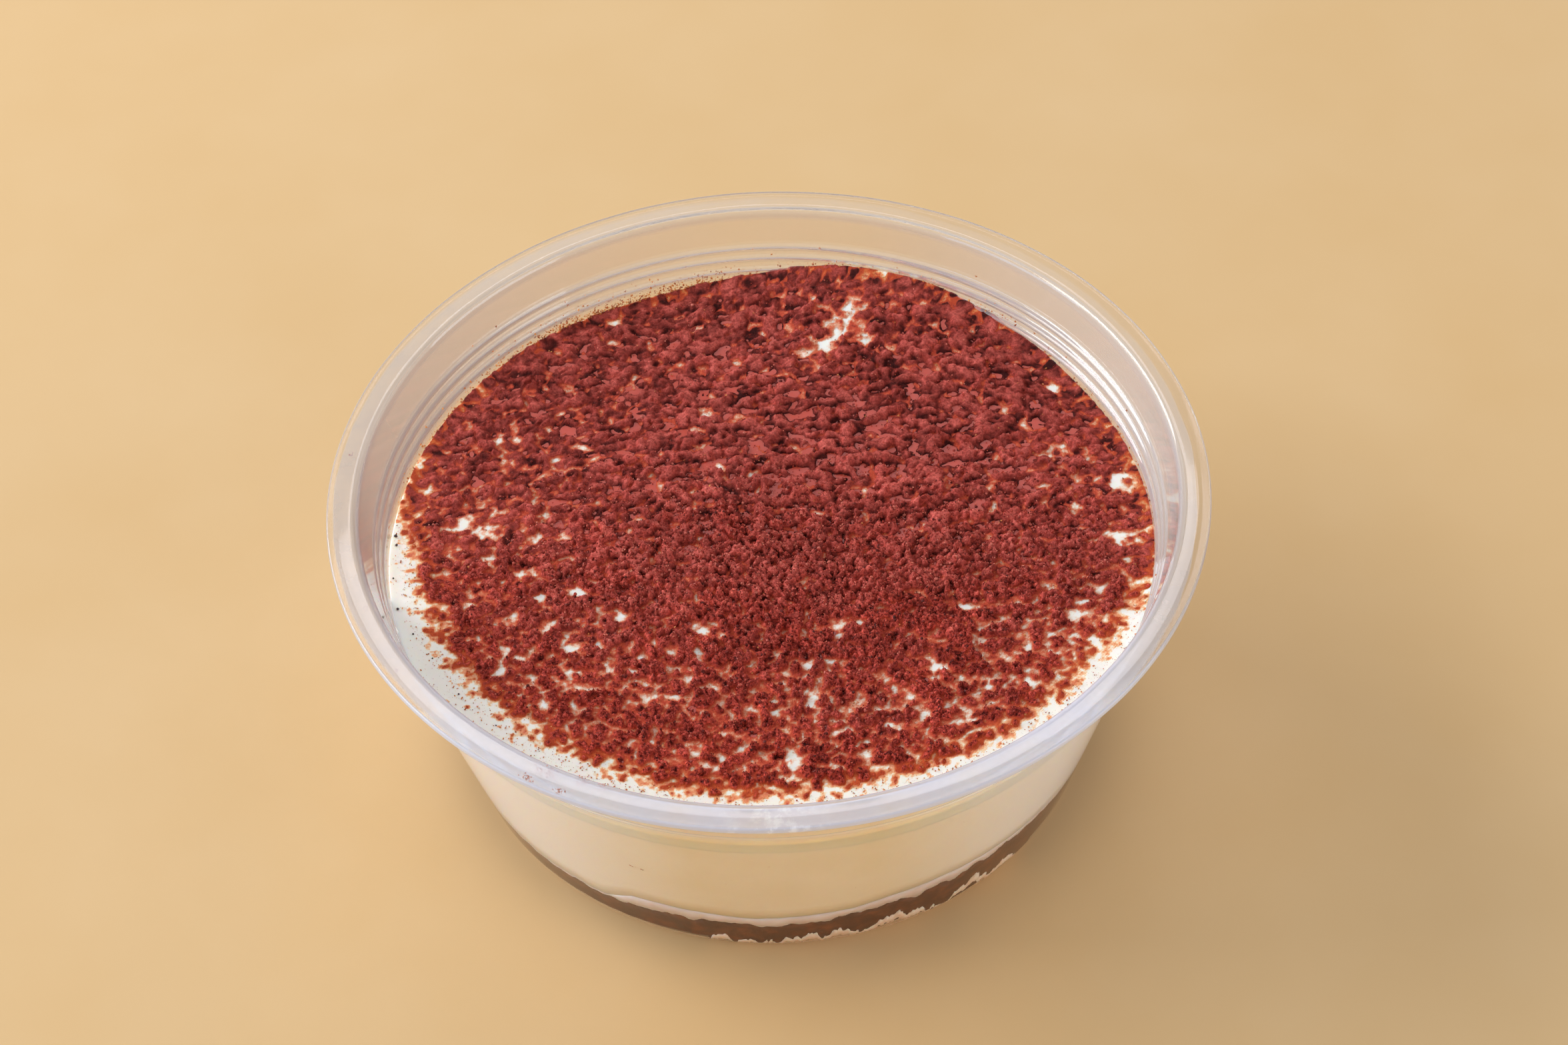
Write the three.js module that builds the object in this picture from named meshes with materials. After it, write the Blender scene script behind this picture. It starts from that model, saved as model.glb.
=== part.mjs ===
// Tiramisu in a round clear plastic tub. The thin tapered tub has a flat rim and
// two low beads round its mouth. It holds, from the floor up, a pale bottom cream,
// a dark soaked sponge, a thin soaked cream, a thick mascarpone cream and a lumpy
// dusting of cocoa that stops short of the wall at the front.
//
// Millimetres, +Z up. The origin is the middle of the base, on the surface that the
// tub stands on. The front, where the cream's bare margin is, faces -Y. An azimuth
// is measured from +X towards +Y, in degrees where a size is named.

import * as THREE from 'three';
import { mergeVertices } from 'three/addons/utils/BufferGeometryUtils.js';

// ---- the tub ----
const HEIGHT = 44.7; // base to top of rim
const RIM_RADIUS = 58.5; // outer edge of the flat rim
const MOUTH_RADIUS = 54.5; // inside edge of the rim
const WALL = 0.7; // wall thickness, measured level
const TAPER = 0.275; // how much the radius grows for each millimetre of height
const RIM_THICKNESS = 0.9;
const EDGE_ROUND = 0.3; // rounding of the rim's outer edge
const LIP_ROUND = 0.7; // rounding from the rim into the mouth
const FLOOR = 1.0; // inside floor above the resting plane
const FOOT_RADIUS = 36; // inside edge of the ring that the tub stands on
const FOOT_DEPTH = 0.4; // how far the base is recessed inside that ring
const FOOT_SLOPE = 0.8;
const BASE_CORNER = 2.2; // outer rounding from base to wall
const FLOOR_CORNER = 0.8; // inner rounding from floor to wall
const BEAD_DEPTHS = [6.2, 8.4]; // below the rim
const BEAD_WIDTH = 1.6;
const BEAD_HEIGHT = 0.35; // how far a bead stands into the tub

// ---- the filling, as heights above the resting plane ----
const GAP = 0.3; // kept between neighbouring solids
const BOTTOM_CREAM_EDGE = 2.1; // top of the bottom cream where it hides behind sponge
const BOTTOM_CREAM_RISE = 1.6; // how much more of it shows in its two patches
const BOTTOM_CREAM_AZIMUTH = -68; // middle of the patch that faces front
const SPONGE_LEVEL = 7.6; // top of the sponge, on average
const SPONGE_SWING = 2.0; // it is higher at the front right and lower at the left
const SPONGE_AZIMUTH = -52;
const SOAKED_CREAM_FILM = 0.8; // where the soaked cream is only a film
const SOAKED_CREAM_BAND = 1.9; // added where it widens to a band
const SOAKED_CREAM_AZIMUTH = -75;
const CREAM_LEVEL = 32.9; // top of the mascarpone at the wall
const CREAM_CLIMB = 2.9; // how far it climbs the wall at the back right
const CREAM_CLIMB_AZIMUTH = 72;
const CREAM_CLIMB_SPREAD = 17; // degrees to either side
const CREAM_CLIMB_REACH = 9; // how far inward the climb is felt
const CREAM_SWELL = 0.45; // slow rise and fall over the surface
const DENT_DEPTH = 0.8; // the shallow dent right of the middle
const DENT_AT = [9, 3];
const DENT_SPREAD = 8;
const COCOA_CRUST = 0.9; // average thickness of the dusting
const COCOA_EDGE = 0.35; // its thickness at its outline
const COCOA_LUMP = 0.45; // how far its lumps rise and sink
const COCOA_CELLS = 36; // lumps side by side across the dusting
const COCOA_SEED = 11;
const COCOA_MARGIN = 6.2; // bare cream between the dusting and the front wall
const COCOA_MARGIN_AZIMUTH = -107;
const COCOA_RAGGED = 0.7; // how uneven that outline is

const AROUND = 60; // facets round every turned solid
const CORNER_STEPS = 3;

const { seededRandom } = THREE.MathUtils;
const radians = degrees => (degrees * Math.PI) / 180;
const smooth = (low, high, value) => THREE.MathUtils.smoothstep(value, low, high);
const bell = (distance, spread) => Math.exp(-0.5 * (distance / spread) ** 2);

// A closed line round the tub: the sum of waves, each [times round, size, azimuth of a crest].
function roundWave(azimuth, waves) {
  return waves.reduce((sum, [times, size, crest]) =>
    sum + size * Math.cos(times * (azimuth - radians(crest))), 0);
}

// ---- helpers that make closed meshes ----

// Join the seam and the poles of a turned mesh, and drop the faces that collapse there.
function sealed(geometry) {
  geometry.deleteAttribute('normal');
  geometry.deleteAttribute('uv');
  const merged = mergeVertices(geometry);
  const kept = [];
  for (let i = 0; i < merged.index.count; i += 3) {
    const [a, b, c] = [0, 1, 2].map(corner => merged.index.getX(i + corner));
    if (a !== b && b !== c && c !== a) {
      kept.push(a, b, c);
    }
  }
  merged.setIndex(kept);
  merged.computeVertexNormals();
  return merged;
}

// Turn a profile of Vector2(radius, height) points about Z.
function turned(profile) {
  return new THREE.LatheGeometry(profile, AROUND).rotateX(Math.PI / 2);
}

// A rounded corner from one point to another, bending at the corner between them.
function rounded(from, corner, to) {
  const points = [from, corner, to].map(([radius, height]) => new THREE.Vector2(radius, height));
  return new THREE.QuadraticBezierCurve(...points).getPoints(CORNER_STEPS);
}

// ---- the tub ----

const wallInside = height => MOUTH_RADIUS - TAPER * (HEIGHT - height);
const wallOutside = height => wallInside(height) + WALL;

function beadProfile(depth) {
  const steps = 4;
  const points = [];
  for (let step = 0; step <= steps; step++) {
    const along = step / steps;
    const height = HEIGHT - depth + BEAD_WIDTH * (0.5 - along);
    const proud = BEAD_HEIGHT * Math.sin(Math.PI * along) ** 2;
    points.push(new THREE.Vector2(wallInside(height) - proud, height));
  }
  return points;
}

function tubGeometry() {
  const rimUnderside = HEIGHT - RIM_THICKNESS;
  const innerCornerTop = FLOOR + FLOOR_CORNER;
  return sealed(turned([
    new THREE.Vector2(0, FOOT_DEPTH),
    new THREE.Vector2(FOOT_RADIUS - FOOT_SLOPE, FOOT_DEPTH),
    new THREE.Vector2(FOOT_RADIUS, 0),
    ...rounded(
      [wallOutside(0) - BASE_CORNER, 0],
      [wallOutside(0), 0],
      [wallOutside(BASE_CORNER), BASE_CORNER]),
    ...rounded(
      [wallOutside(rimUnderside - LIP_ROUND), rimUnderside - LIP_ROUND],
      [wallOutside(rimUnderside), rimUnderside],
      [wallOutside(rimUnderside) + LIP_ROUND, rimUnderside]),
    new THREE.Vector2(RIM_RADIUS - EDGE_ROUND, rimUnderside),
    new THREE.Vector2(RIM_RADIUS, rimUnderside + EDGE_ROUND),
    new THREE.Vector2(RIM_RADIUS, HEIGHT - EDGE_ROUND),
    new THREE.Vector2(RIM_RADIUS - EDGE_ROUND, HEIGHT),
    ...rounded(
      [MOUTH_RADIUS + LIP_ROUND, HEIGHT],
      [MOUTH_RADIUS, HEIGHT],
      [wallInside(HEIGHT - LIP_ROUND), HEIGHT - LIP_ROUND]),
    ...BEAD_DEPTHS.flatMap(beadProfile),
    ...rounded(
      [wallInside(innerCornerTop), innerCornerTop],
      [wallInside(FLOOR), FLOOR],
      [wallInside(FLOOR) - FLOOR_CORNER, FLOOR]),
    new THREE.Vector2(0, FLOOR),
  ]));
}

// ---- the filling ----
// Each surface between two layers is a height over an azimuth and a share of the
// radius, which is 0 in the middle of the tub and 1 at the wall. The wavy lines that
// show through the wall die out towards the middle.

// The filling keeps clear of the wall, and of the beads where it climbs up to them.
function fillingRadius(height) {
  const lowestBead = HEIGHT - Math.max(...BEAD_DEPTHS) - BEAD_WIDTH;
  return wallInside(height) - GAP - BEAD_HEIGHT * smooth(lowestBead - 2, lowestBead, height);
}

// Two opposite stretches of the wall, each this many degrees to either side.
const patches = (azimuth, centre, halfWidth) => {
  const edge = Math.cos(2 * radians(halfWidth));
  return smooth(edge, edge + 0.15, Math.cos(2 * (azimuth - radians(centre))));
};

const floorTop = {
  rings: 3,
  height: () => FLOOR,
};

const bottomCreamTop = {
  rings: 3,
  height: (azimuth, share) => BOTTOM_CREAM_EDGE
    + BOTTOM_CREAM_RISE * share * patches(azimuth, BOTTOM_CREAM_AZIMUTH, 35)
    + share * roundWave(azimuth, [[19, 0.35, 10], [31, 0.2, 4]]),
};

const spongeTop = {
  rings: 3,
  height: (azimuth, share) => SPONGE_LEVEL
    + share * SPONGE_SWING * Math.cos(2 * (azimuth - radians(SPONGE_AZIMUTH)))
    + share * roundWave(azimuth, [[17, 0.3, 8], [29, 0.22, 3]]),
};

const soakedCreamTop = {
  rings: 3,
  height: (azimuth, share) => spongeTop.height(azimuth, share) + GAP + SOAKED_CREAM_FILM
    + SOAKED_CREAM_BAND * share * patches(azimuth, SOAKED_CREAM_AZIMUTH, 43)
    - share * roundWave(azimuth, [[17, 0.2, 8], [29, 0.15, 3]]),
};

const creamTop = {
  rings: 8,
  height: (azimuth, share) => {
    const radius = share * fillingRadius(CREAM_LEVEL);
    const x = radius * Math.cos(azimuth);
    const y = radius * Math.sin(azimuth);
    const swing = THREE.MathUtils.radToDeg(azimuth) - CREAM_CLIMB_AZIMUTH;
    const aside = THREE.MathUtils.euclideanModulo(swing + 180, 360) - 180;
    const inward = fillingRadius(CREAM_LEVEL) - radius;
    const climb = bell(aside, CREAM_CLIMB_SPREAD) * bell(inward, CREAM_CLIMB_REACH);
    const swell = Math.cos(x / 11 + 0.6) * Math.cos(y / 13 - 0.4);
    const dent = bell(Math.hypot(x - DENT_AT[0], y - DENT_AT[1]), DENT_SPREAD);
    return CREAM_LEVEL + CREAM_CLIMB * climb + CREAM_SWELL * swell - DENT_DEPTH * dent;
  },
};

// How far out the dusting reaches, as a share of the radius.
function cocoaReach(azimuth) {
  const frontness = smooth(-0.09, 0.64, Math.cos(azimuth - radians(COCOA_MARGIN_AZIMUTH)));
  const ragged = roundWave(azimuth, [[13, 0.6, 0], [23, 0.4, 5]]);
  return 1 - (frontness * (COCOA_MARGIN + COCOA_RAGGED * ragged)) / fillingRadius(CREAM_LEVEL);
}

// A layer rests a gap above one surface and fills up to the next. It starts as a
// turned disc of radius 1 and height 1, whose rings are then moved out to the wall
// and up to the two surfaces.
function layerGeometry(below, above, sideRings) {
  const profile = [];
  for (let ring = 0; ring < below.rings; ring++) {
    profile.push(new THREE.Vector2(ring / below.rings, 0));
  }
  for (let ring = 0; ring <= sideRings; ring++) {
    profile.push(new THREE.Vector2(1, ring / sideRings));
  }
  for (let ring = above.rings - 1; ring >= 0; ring--) {
    profile.push(new THREE.Vector2(ring / above.rings, 1));
  }
  const geometry = turned(profile);
  const position = geometry.attributes.position;
  for (let i = 0; i < position.count; i++) {
    const azimuth = Math.atan2(position.getY(i), position.getX(i));
    const share = Math.hypot(position.getX(i), position.getY(i));
    const low = below.height(azimuth, share) + GAP;
    const high = above.height(azimuth, share);
    const height = THREE.MathUtils.lerp(low, high, position.getZ(i));
    const cornerTrim = height < FLOOR + FLOOR_CORNER ? FLOOR_CORNER : 0;
    const radius = share * (fillingRadius(height) - cornerTrim);
    position.setXYZ(i, radius * Math.cos(azimuth), radius * Math.sin(azimuth), height);
  }
  return sealed(geometry);
}

// The dusting is a thin slab on the cream. A slab of square cells is pulled out to a
// round one, so that the lumps are the same size all over, and each cell's corner on
// its top is a lump or a hollow. It thins towards its outline.
function dustingGeometry() {
  const geometry = new THREE.BoxGeometry(2, 2, 1, COCOA_CELLS, COCOA_CELLS, 1);
  const position = geometry.attributes.position;
  seededRandom(COCOA_SEED);
  for (let i = 0; i < position.count; i++) {
    const across = position.getX(i);
    const along = position.getY(i);
    const x = across * Math.sqrt(1 - along ** 2 / 2);
    const y = along * Math.sqrt(1 - across ** 2 / 2);
    const azimuth = Math.atan2(y, x);
    const outward = Math.hypot(x, y);
    const share = outward * cocoaReach(azimuth);
    const lump = COCOA_LUMP * (2 * seededRandom() - 1);
    const crust = COCOA_EDGE + (COCOA_CRUST - COCOA_EDGE + lump) * (1 - smooth(0.93, 0.99, outward));
    const height = creamTop.height(azimuth, share) + GAP + (position.getZ(i) > 0 ? crust : 0);
    const radius = share * fillingRadius(height);
    position.setXYZ(i, radius * Math.cos(azimuth), radius * Math.sin(azimuth), height);
  }
  return sealed(geometry);
}

// ---- colours ----

const finish = (color, roughness, opacity = 1) => new THREE.MeshStandardMaterial({
  color,
  roughness,
  metalness: 0,
  opacity,
  transparent: opacity < 1,
});

const clearPlastic = finish(0xdcd6d2, 0.18, 0.35);
const paleCream = finish(0xdab094, 0.5);
const darkSponge = finish(0x5a3220, 0.6);
const greyCream = finish(0xb29a86, 0.5);
const ivoryCream = finish(0xe9d9b8, 0.45);
const cocoaPowder = finish(0x6b2418, 0.95);

// ---- the model ----

function part(name, geometry, material) {
  const mesh = new THREE.Mesh(geometry, material);
  mesh.name = name;
  return mesh;
}

const tiramisu = new THREE.Group();
tiramisu.add(
  part('tub', tubGeometry(), clearPlastic),
  part('bottom_cream', layerGeometry(floorTop, bottomCreamTop, 1), paleCream),
  part('sponge', layerGeometry(bottomCreamTop, spongeTop, 1), darkSponge),
  part('soaked_cream', layerGeometry(spongeTop, soakedCreamTop, 1), greyCream),
  part('mascarpone', layerGeometry(soakedCreamTop, creamTop, 3), ivoryCream),
  part('cocoa', dustingGeometry(), cocoaPowder),
);

export default tiramisu;
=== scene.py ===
# %% [markdown]
# # Tiramisu in a round clear tub
# A thin clear plastic tub holds, from its floor up, a pale bottom cream, a dark soaked
# sponge, a thin grey-beige soaked cream and a thick mascarpone cream. Cocoa is sieved
# over the top. It stops short of the wall at the front, and crumbs of it lie about.
# The packed solids give the frame. Every piece below stands for one of them, or lies
# on one, so that the look and the solid are the same size and in the same place.

# %% Load the packed solids
import math

import bpy
import numpy as np
from mathutils import Matrix, Vector


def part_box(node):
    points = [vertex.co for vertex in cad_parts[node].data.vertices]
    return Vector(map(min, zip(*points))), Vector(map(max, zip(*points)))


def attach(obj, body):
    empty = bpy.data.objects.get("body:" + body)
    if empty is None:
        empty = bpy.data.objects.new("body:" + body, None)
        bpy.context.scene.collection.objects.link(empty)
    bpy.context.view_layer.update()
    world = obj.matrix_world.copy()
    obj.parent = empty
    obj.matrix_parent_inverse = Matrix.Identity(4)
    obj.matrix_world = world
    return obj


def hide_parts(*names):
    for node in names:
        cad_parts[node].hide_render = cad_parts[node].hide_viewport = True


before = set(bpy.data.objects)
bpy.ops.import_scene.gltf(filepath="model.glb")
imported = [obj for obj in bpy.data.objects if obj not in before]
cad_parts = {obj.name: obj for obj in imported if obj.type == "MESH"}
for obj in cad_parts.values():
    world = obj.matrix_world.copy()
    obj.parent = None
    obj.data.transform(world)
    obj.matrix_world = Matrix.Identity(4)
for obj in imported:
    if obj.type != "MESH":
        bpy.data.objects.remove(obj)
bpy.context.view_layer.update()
print("solids:", ", ".join(sorted(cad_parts)))

# %% [markdown]
# ## Sizes
# Blender works in metres and food is thought of in millimetres, so the sizes are written
# in millimetres and each finished mesh is scaled once. The outer sizes are read from the
# solids. The wall leans outwards, so its radius is a function of the height.

# %% Sizes of the tub and of the filling
MM = 0.001

tub_low, tub_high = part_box("tub")
RIM_TOP = tub_high.z / MM
RIM_RADIUS = tub_high.x / MM - 0.002  # a hair inside the solid, so that rounding never puts it outside
MOUTH_RADIUS = RIM_RADIUS - 4.0
WALL = 0.7
TAPER = 0.275  # how much wider the wall grows for each millimetre up
FLOOR = 1.0
FLOOR_CORNER = 0.8  # width and height of the corner where the floor meets the wall
SINK = 0.25  # how far the filling reaches into the wall, so that no air shows

CREAM_LEVEL = 32.9  # the mascarpone's surface above the table
SPONGE_LEVEL = 7.6  # the sponge's surface inside the food


def wall_inside(height):
    """Radius of the tub's inner face."""
    return MOUTH_RADIUS - TAPER * (RIM_TOP - height)


def filling_radius(height):
    """The filling's outer face, which rounds in where the tub's floor meets its wall."""
    up = np.sqrt(np.clip((height - FLOOR) / FLOOR_CORNER, 0, 1))
    return wall_inside(height) + SINK - FLOOR_CORNER * (1 - up) ** 2


print("the tub stands from %.1f to %.1f mm, rim radius %.1f mm" % (tub_low.z / MM, RIM_TOP, RIM_RADIUS))

# %% [markdown]
# ## Unevenness
# Nothing about food is smooth. It could be sculpted by hand, or pushed about by a noise
# texture and a Displace modifier. Here a few small functions give all of it, because the
# same height is then known to every piece that touches it: the crumbs know where the crust
# is, and the stain knows where the crumbs are. These first ones only soften a step.

# %% Soft steps


def ease(share):
    """From 0 to 1 with a level start and end."""
    share = np.clip(share, 0, 1)
    return share * share * (3 - 2 * share)


def step_between(low, high, value):
    """0 below low, 1 above high, and a soft step between them."""
    return ease((value - low) / (high - low))


def bell(distance, spread):
    """1 at no distance, fading to nothing over a few spreads."""
    return np.exp(-0.5 * (distance / spread) ** 2)


print("halfway up a soft step: %.2f" % step_between(2, 4, 3.0))

# %% [markdown]
# Slow random slopes that blend from cell to cell make soft swells and ragged lines. Summed
# from coarse to fine they look torn, as a spoon leaves cream. Each takes a seed, so the
# same tub comes out every time.

# %% Swells and torn lines
CELLS = 256  # random slopes are kept for this many cells each way, and then repeat


def swell(x, y, size, seed):
    """Smooth random heights from about -1 to 1, in swells of this size."""
    turns = np.random.default_rng(seed).uniform(0, 2 * math.pi, (CELLS, CELLS))
    u, v = x / size, y / size
    column, row = np.floor(u).astype(int), np.floor(v).astype(int)
    total = np.zeros_like(u)
    for across in (0, 1):
        for along in (0, 1):
            turn = turns[(column + across) % CELLS, (row + along) % CELLS]
            du, dv = u - column - across, v - row - along
            near = ease(1 - np.abs(du)) * ease(1 - np.abs(dv))
            total += near * (np.cos(turn) * du + np.sin(turn) * dv)
    return 1.6 * total


def torn(x, y, size, seed, times=4, keep=0.55):
    """Swells on swells, each half the size of the last and a little lower."""
    total = np.zeros_like(x)
    for octave in range(times):
        total += keep ** octave * swell(x, y, size / 2 ** octave, seed + octave)
    return total


row_of_places = np.linspace(0, 40, 400)
sample = swell(row_of_places, row_of_places, 3.0, 1)
print("swells from %.2f to %.2f" % (sample.min(), sample.max()))

# %% [markdown]
# Sieved powder packs into little heaps. Points are scattered one to a cell, and the
# distance to the nearest gives a heap round each. Where the nearest and the next are
# equally far there is a crack, and between the cracks lie clods.

# %% Heaps and clods


def two_nearest(x, y, size, seed):
    """Distances to the nearest and the next of many scattered points, in spacings."""
    shift = np.random.default_rng(seed).random((CELLS, CELLS, 2))
    u, v = x / size, y / size
    column, row = np.floor(u).astype(int), np.floor(v).astype(int)
    first, second = np.full(u.shape, 9.0), np.full(u.shape, 9.0)
    for across in (-1, 0, 1):
        for along in (-1, 0, 1):
            at = shift[(column + across) % CELLS, (row + along) % CELLS]
            distance = np.hypot(column + across + at[..., 0] - u, row + along + at[..., 1] - v)
            second = np.minimum(second, np.maximum(first, distance))
            first = np.minimum(first, distance)
    return first, second


def heaps(x, y, size, seed):
    """Rounded heaps side by side: 1 on top of a heap and towards 0 between heaps."""
    return 1 - np.clip(two_nearest(x, y, size, seed)[0], 0, 1)


def domes(x, y, size, seed):
    """The same heaps with round tops."""
    return 1 - np.clip(two_nearest(x, y, size, seed)[0], 0, 1) ** 2


def clods(x, y, size, seed):
    """0 along the cracks between clods, and up to about 1 in the middle of a clod."""
    first, second = two_nearest(x, y, size, seed)
    return np.clip(second - first, 0, 1)


print("heaps stand %.2f high on average" % heaps(row_of_places, row_of_places, 1.5, 2).mean())

# %% [markdown]
# ## The surfaces between the layers
# Each layer ends where the next begins, so both read one function for the height of the
# line between them. The lines that show through the wall are short tables of heights
# round the wall, made ragged as spoonfuls of cream and torn sponge are. They settle to
# level surfaces inside the food.

# %% Places round the wall
RING = 50  # about the filling's radius where it is seen


def around(azimuth, centre):
    """Degrees from one azimuth to the other, between -180 and 180."""
    return (np.degrees(azimuth) - centre + 180) % 360 - 180


def polar_of(x, y):
    """Azimuth and radius of places in the plane."""
    return np.arctan2(y, x), np.hypot(x, y)


def at_polar(azimuth, radius, height):
    """Places as rows of x, y and z, from azimuth, radius and height."""
    return np.stack([radius * np.cos(azimuth), radius * np.sin(azimuth), height], 1)


def on_wall(azimuth):
    """A round line laid out as a place, so that a pattern on it closes after one turn."""
    return RING * np.cos(azimuth), RING * np.sin(azimuth)


def read_line(azimuth, line):
    """The height of a line that is given as (azimuth in degrees, height) pairs."""
    return np.interp(np.degrees(azimuth), *zip(*line))


print("from 170 to -170 degrees: %.0f" % around(math.radians(-170), 170))

# %% Lines between the layers, as azimuth in degrees and height
BOTTOM_CREAM_LINE = (
    (-180, 0), (-104, 0), (-102.5, 2.1), (-97, 1.7), (-93, 0.8), (-89, 1.8), (-85, 2.6),
    (-82, 1.8), (-77, 0.9), (-74, 2.7), (-70, 2.9), (-65, 2.6), (-61, 0.3), (-59, 2.2),
    (-56, 4.2), (-53, 3.0), (-51, 1.1), (-49, 2.5), (-45, 1.5), (-40, 0), (76, 0), (84, 2.6),
    (97, 1.2), (108, 3.4), (120, 1.8), (133, 3.0), (146, 0), (180, 0))
SPONGE_LINE = (
    (-180, 6.4), (-130, 6.5), (-121, 6.3), (-116, 6.8), (-104, 7.6), (-92, 6.9), (-83, 8.0), (-77, 9.2),
    (-69, 8.5), (-62, 9.2), (-51, 9.8), (-44, 9.9), (-30, 9.8), (-12, 9.0), (5, 8.0), (90, 7.8), (180, 6.4))
SOAKED_LINE = (
    (-180, 6.7), (-122, 6.7), (-119, 8.4), (-116.5, 10.0), (-105, 10.3), (-97, 9.7), (-88, 10.0),
    (-79, 10.5), (-73, 11.4), (-60, 11.6), (-48, 11.4), (-41, 10.9), (-30, 10.2), (-12, 9.4),
    (5, 8.5), (90, 9.4), (180, 6.7))
BOTTOM_CREAM_INSIDE = 2.1
print("the sponge shows up to %.1f mm above the table" % max(height for _, height in SPONGE_LINE))

# %% Heights of the three lower layers


def bottom_cream_top(azimuth, share):
    """Ragged patches at the wall and level further in."""
    x, y = on_wall(azimuth)
    line = read_line(azimuth, BOTTOM_CREAM_LINE)
    shown = np.maximum(1.1 * line + np.minimum(line, 1) * 1.7 * torn(x, y, 2.2, 31, 4, 0.6), 0)
    at_wall = FLOOR + 0.02 + shown
    return at_wall + (BOTTOM_CREAM_INSIDE - at_wall) * step_between(0.99, 0.9, share)


def sponge_top(azimuth, share):
    """The sponge's torn upper edge, with teeth like those of crumbled cake."""
    x, y = on_wall(azimuth)
    teeth = 0.45 - 1.3 * np.abs(swell(x, y, 2.6, 44))
    front_right = bell(around(azimuth, -55), 28)
    ragged = (0.4 + 0.2 * front_right) * torn(x, y, 3.0, 41, 4, 0.6) + (0.5 + 0.4 * front_right) * teeth
    line = read_line(azimuth, SPONGE_LINE) + ragged
    return SPONGE_LEVEL + ease(share) * (line - SPONGE_LEVEL)


def soaked_cream_top(azimuth, share):
    """The lazy line where the soaked cream meets the mascarpone."""
    x, y = on_wall(azimuth)
    line = read_line(azimuth, SOAKED_LINE) + 0.25 * torn(x, y, 7.0, 52, 3)
    return SPONGE_LEVEL + 1.2 + ease(share) * (line - SPONGE_LEVEL - 1.2)


middle_front = np.radians(np.array([-90.0]))
for layer_top in (bottom_cream_top, sponge_top, soaked_cream_top):
    print("%s at the front: %.1f mm" % (layer_top.__name__, layer_top(middle_front, 1.0)[0]))

# %% [markdown]
# The mascarpone's surface isn't level. It climbs the wall at the back, dips a little in the
# middle, and has a small lip where it wets the plastic.

# %% Height of the mascarpone's surface
CLIMB = 2.9  # how far the cream climbs the wall at the back
CLIMB_AZIMUTH = 72
CLIMB_SPREAD = 17  # in degrees round the wall
CLIMB_REACH = 9  # how far in from the wall it fades
DENT_DEPTH = 0.8
DENT_AT = (9, 3)
DENT_SPREAD = 8


def cream_top(x, y):
    """Height of the mascarpone's surface over a place."""
    azimuth, radius = polar_of(x, y)
    inward = wall_inside(CREAM_LEVEL) - radius
    climb = CLIMB * bell(around(azimuth, CLIMB_AZIMUTH), CLIMB_SPREAD) * bell(inward, CLIMB_REACH)
    slow = 0.45 * np.cos(x / 11 + 0.6) * np.cos(y / 13 - 0.4)
    dent = DENT_DEPTH * bell(np.hypot(x - DENT_AT[0], y - DENT_AT[1]), DENT_SPREAD)
    lip = 0.35 * bell(inward, 0.7)
    return CREAM_LEVEL + 0.15 + climb + slow - dent + lip + 0.12 * swell(x, y, 5.0, 61)


print("surface in the middle %.1f mm, at the back %.1f mm" % (
    cream_top(np.array(0.0), np.array(0.0)), cream_top(np.array(15.0), np.array(48.0))))

# %% [markdown]
# ## Where the cocoa lies
# The sieve leaves an almost closed carpet in the middle and towards the back. Towards the
# front it parts into clods with the cream between them, a few spots are bare, and at the
# left, the front and the right it stops short of the wall. The outline and the bare spots
# are short tables, because they are what an eye remembers. All between them is random.

# %% Margins, openings and bare spots
MARGINS = (  # bare cream between the cocoa and the wall: azimuth in degrees, width
    (-180, 2.3), (-171, 3.3), (-157, 3.5), (-138, 5.0), (-120, 6.3), (-104, 6.6), (-80, 6.5),
    (-62, 5.3), (-51, 4.2), (-45, 3.6), (-36, 3.0), (-26, 1.8), (-15, 0.3), (-5, -2.0),
    (150, -2.0), (169, -0.6), (175, 1.4), (180, 2.3))

SPARSE = (  # where the carpet opens: middle x, y, spread, how far it opens
    (25, -29, 12, 0.16),
    (2, -38, 11, 0.16),
    (42, -22, 7, 0.45),
    (-38, 5, 11, 0.3),
    (-28, -26, 12, 0.16),
    (44, 13, 8, 0.36),
    (13, 43, 9, 0.34),
    (-8, -22, 10, 0.1),
    (-33, 22, 10, 0.24),
    (-20, 30, 8, 0.08),
)
BARE = (  # spots with no cocoa: middle x, y, half length, half width, turned by degrees
    (12.0, 41.0, 3.2, 1.5, 62),
    (7.5, 36.8, 2.6, 0.9, 25),
    (14.5, 37.2, 1.2, 0.9, 0),
    (17.0, 51.0, 2.6, 1.3, 70),
    (39.4, 15.6, 1.5, 0.7, 20),
    (-6.8, 14.9, 1.9, 0.5, -60),
    (3.5, 17.8, 1.0, 0.6, 0),
    (-37.0, 21.5, 1.3, 0.6, 80),
    (-38.8, 5.2, 1.4, 1.0, 20),
    (-21.0, -12.0, 1.6, 0.9, -30),
    (-25.8, -7.3, 1.5, 0.8, -60),
    (-9.7, -15.0, 1.3, 0.7, -50),
    (9.0, -15.0, 1.1, 0.6, 40),
    (25.0, -12.9, 1.4, 0.7, -40),
    (-8.0, 24.8, 1.3, 0.5, 0),
    (-21.0, 44.2, 1.5, 0.7, 30),
    (48.0, 9.0, 1.9, 1.0, 0),
    (40.5, 27.0, 1.5, 0.7, -30),
    (47.0, -2.0, 1.6, 1.2, 0),
)
print("%d bare spots" % len(BARE))

# %% [markdown]
# One function says how much cocoa a place has drawn up: round heaps, larger clods and torn
# blotches, less the openings and the margin. The cream takes its stain from it. The crust
# starts where it is thick enough, so the stain always lies round the clods as a wet halo.

# %% How thickly the cocoa covers the cream


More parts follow.
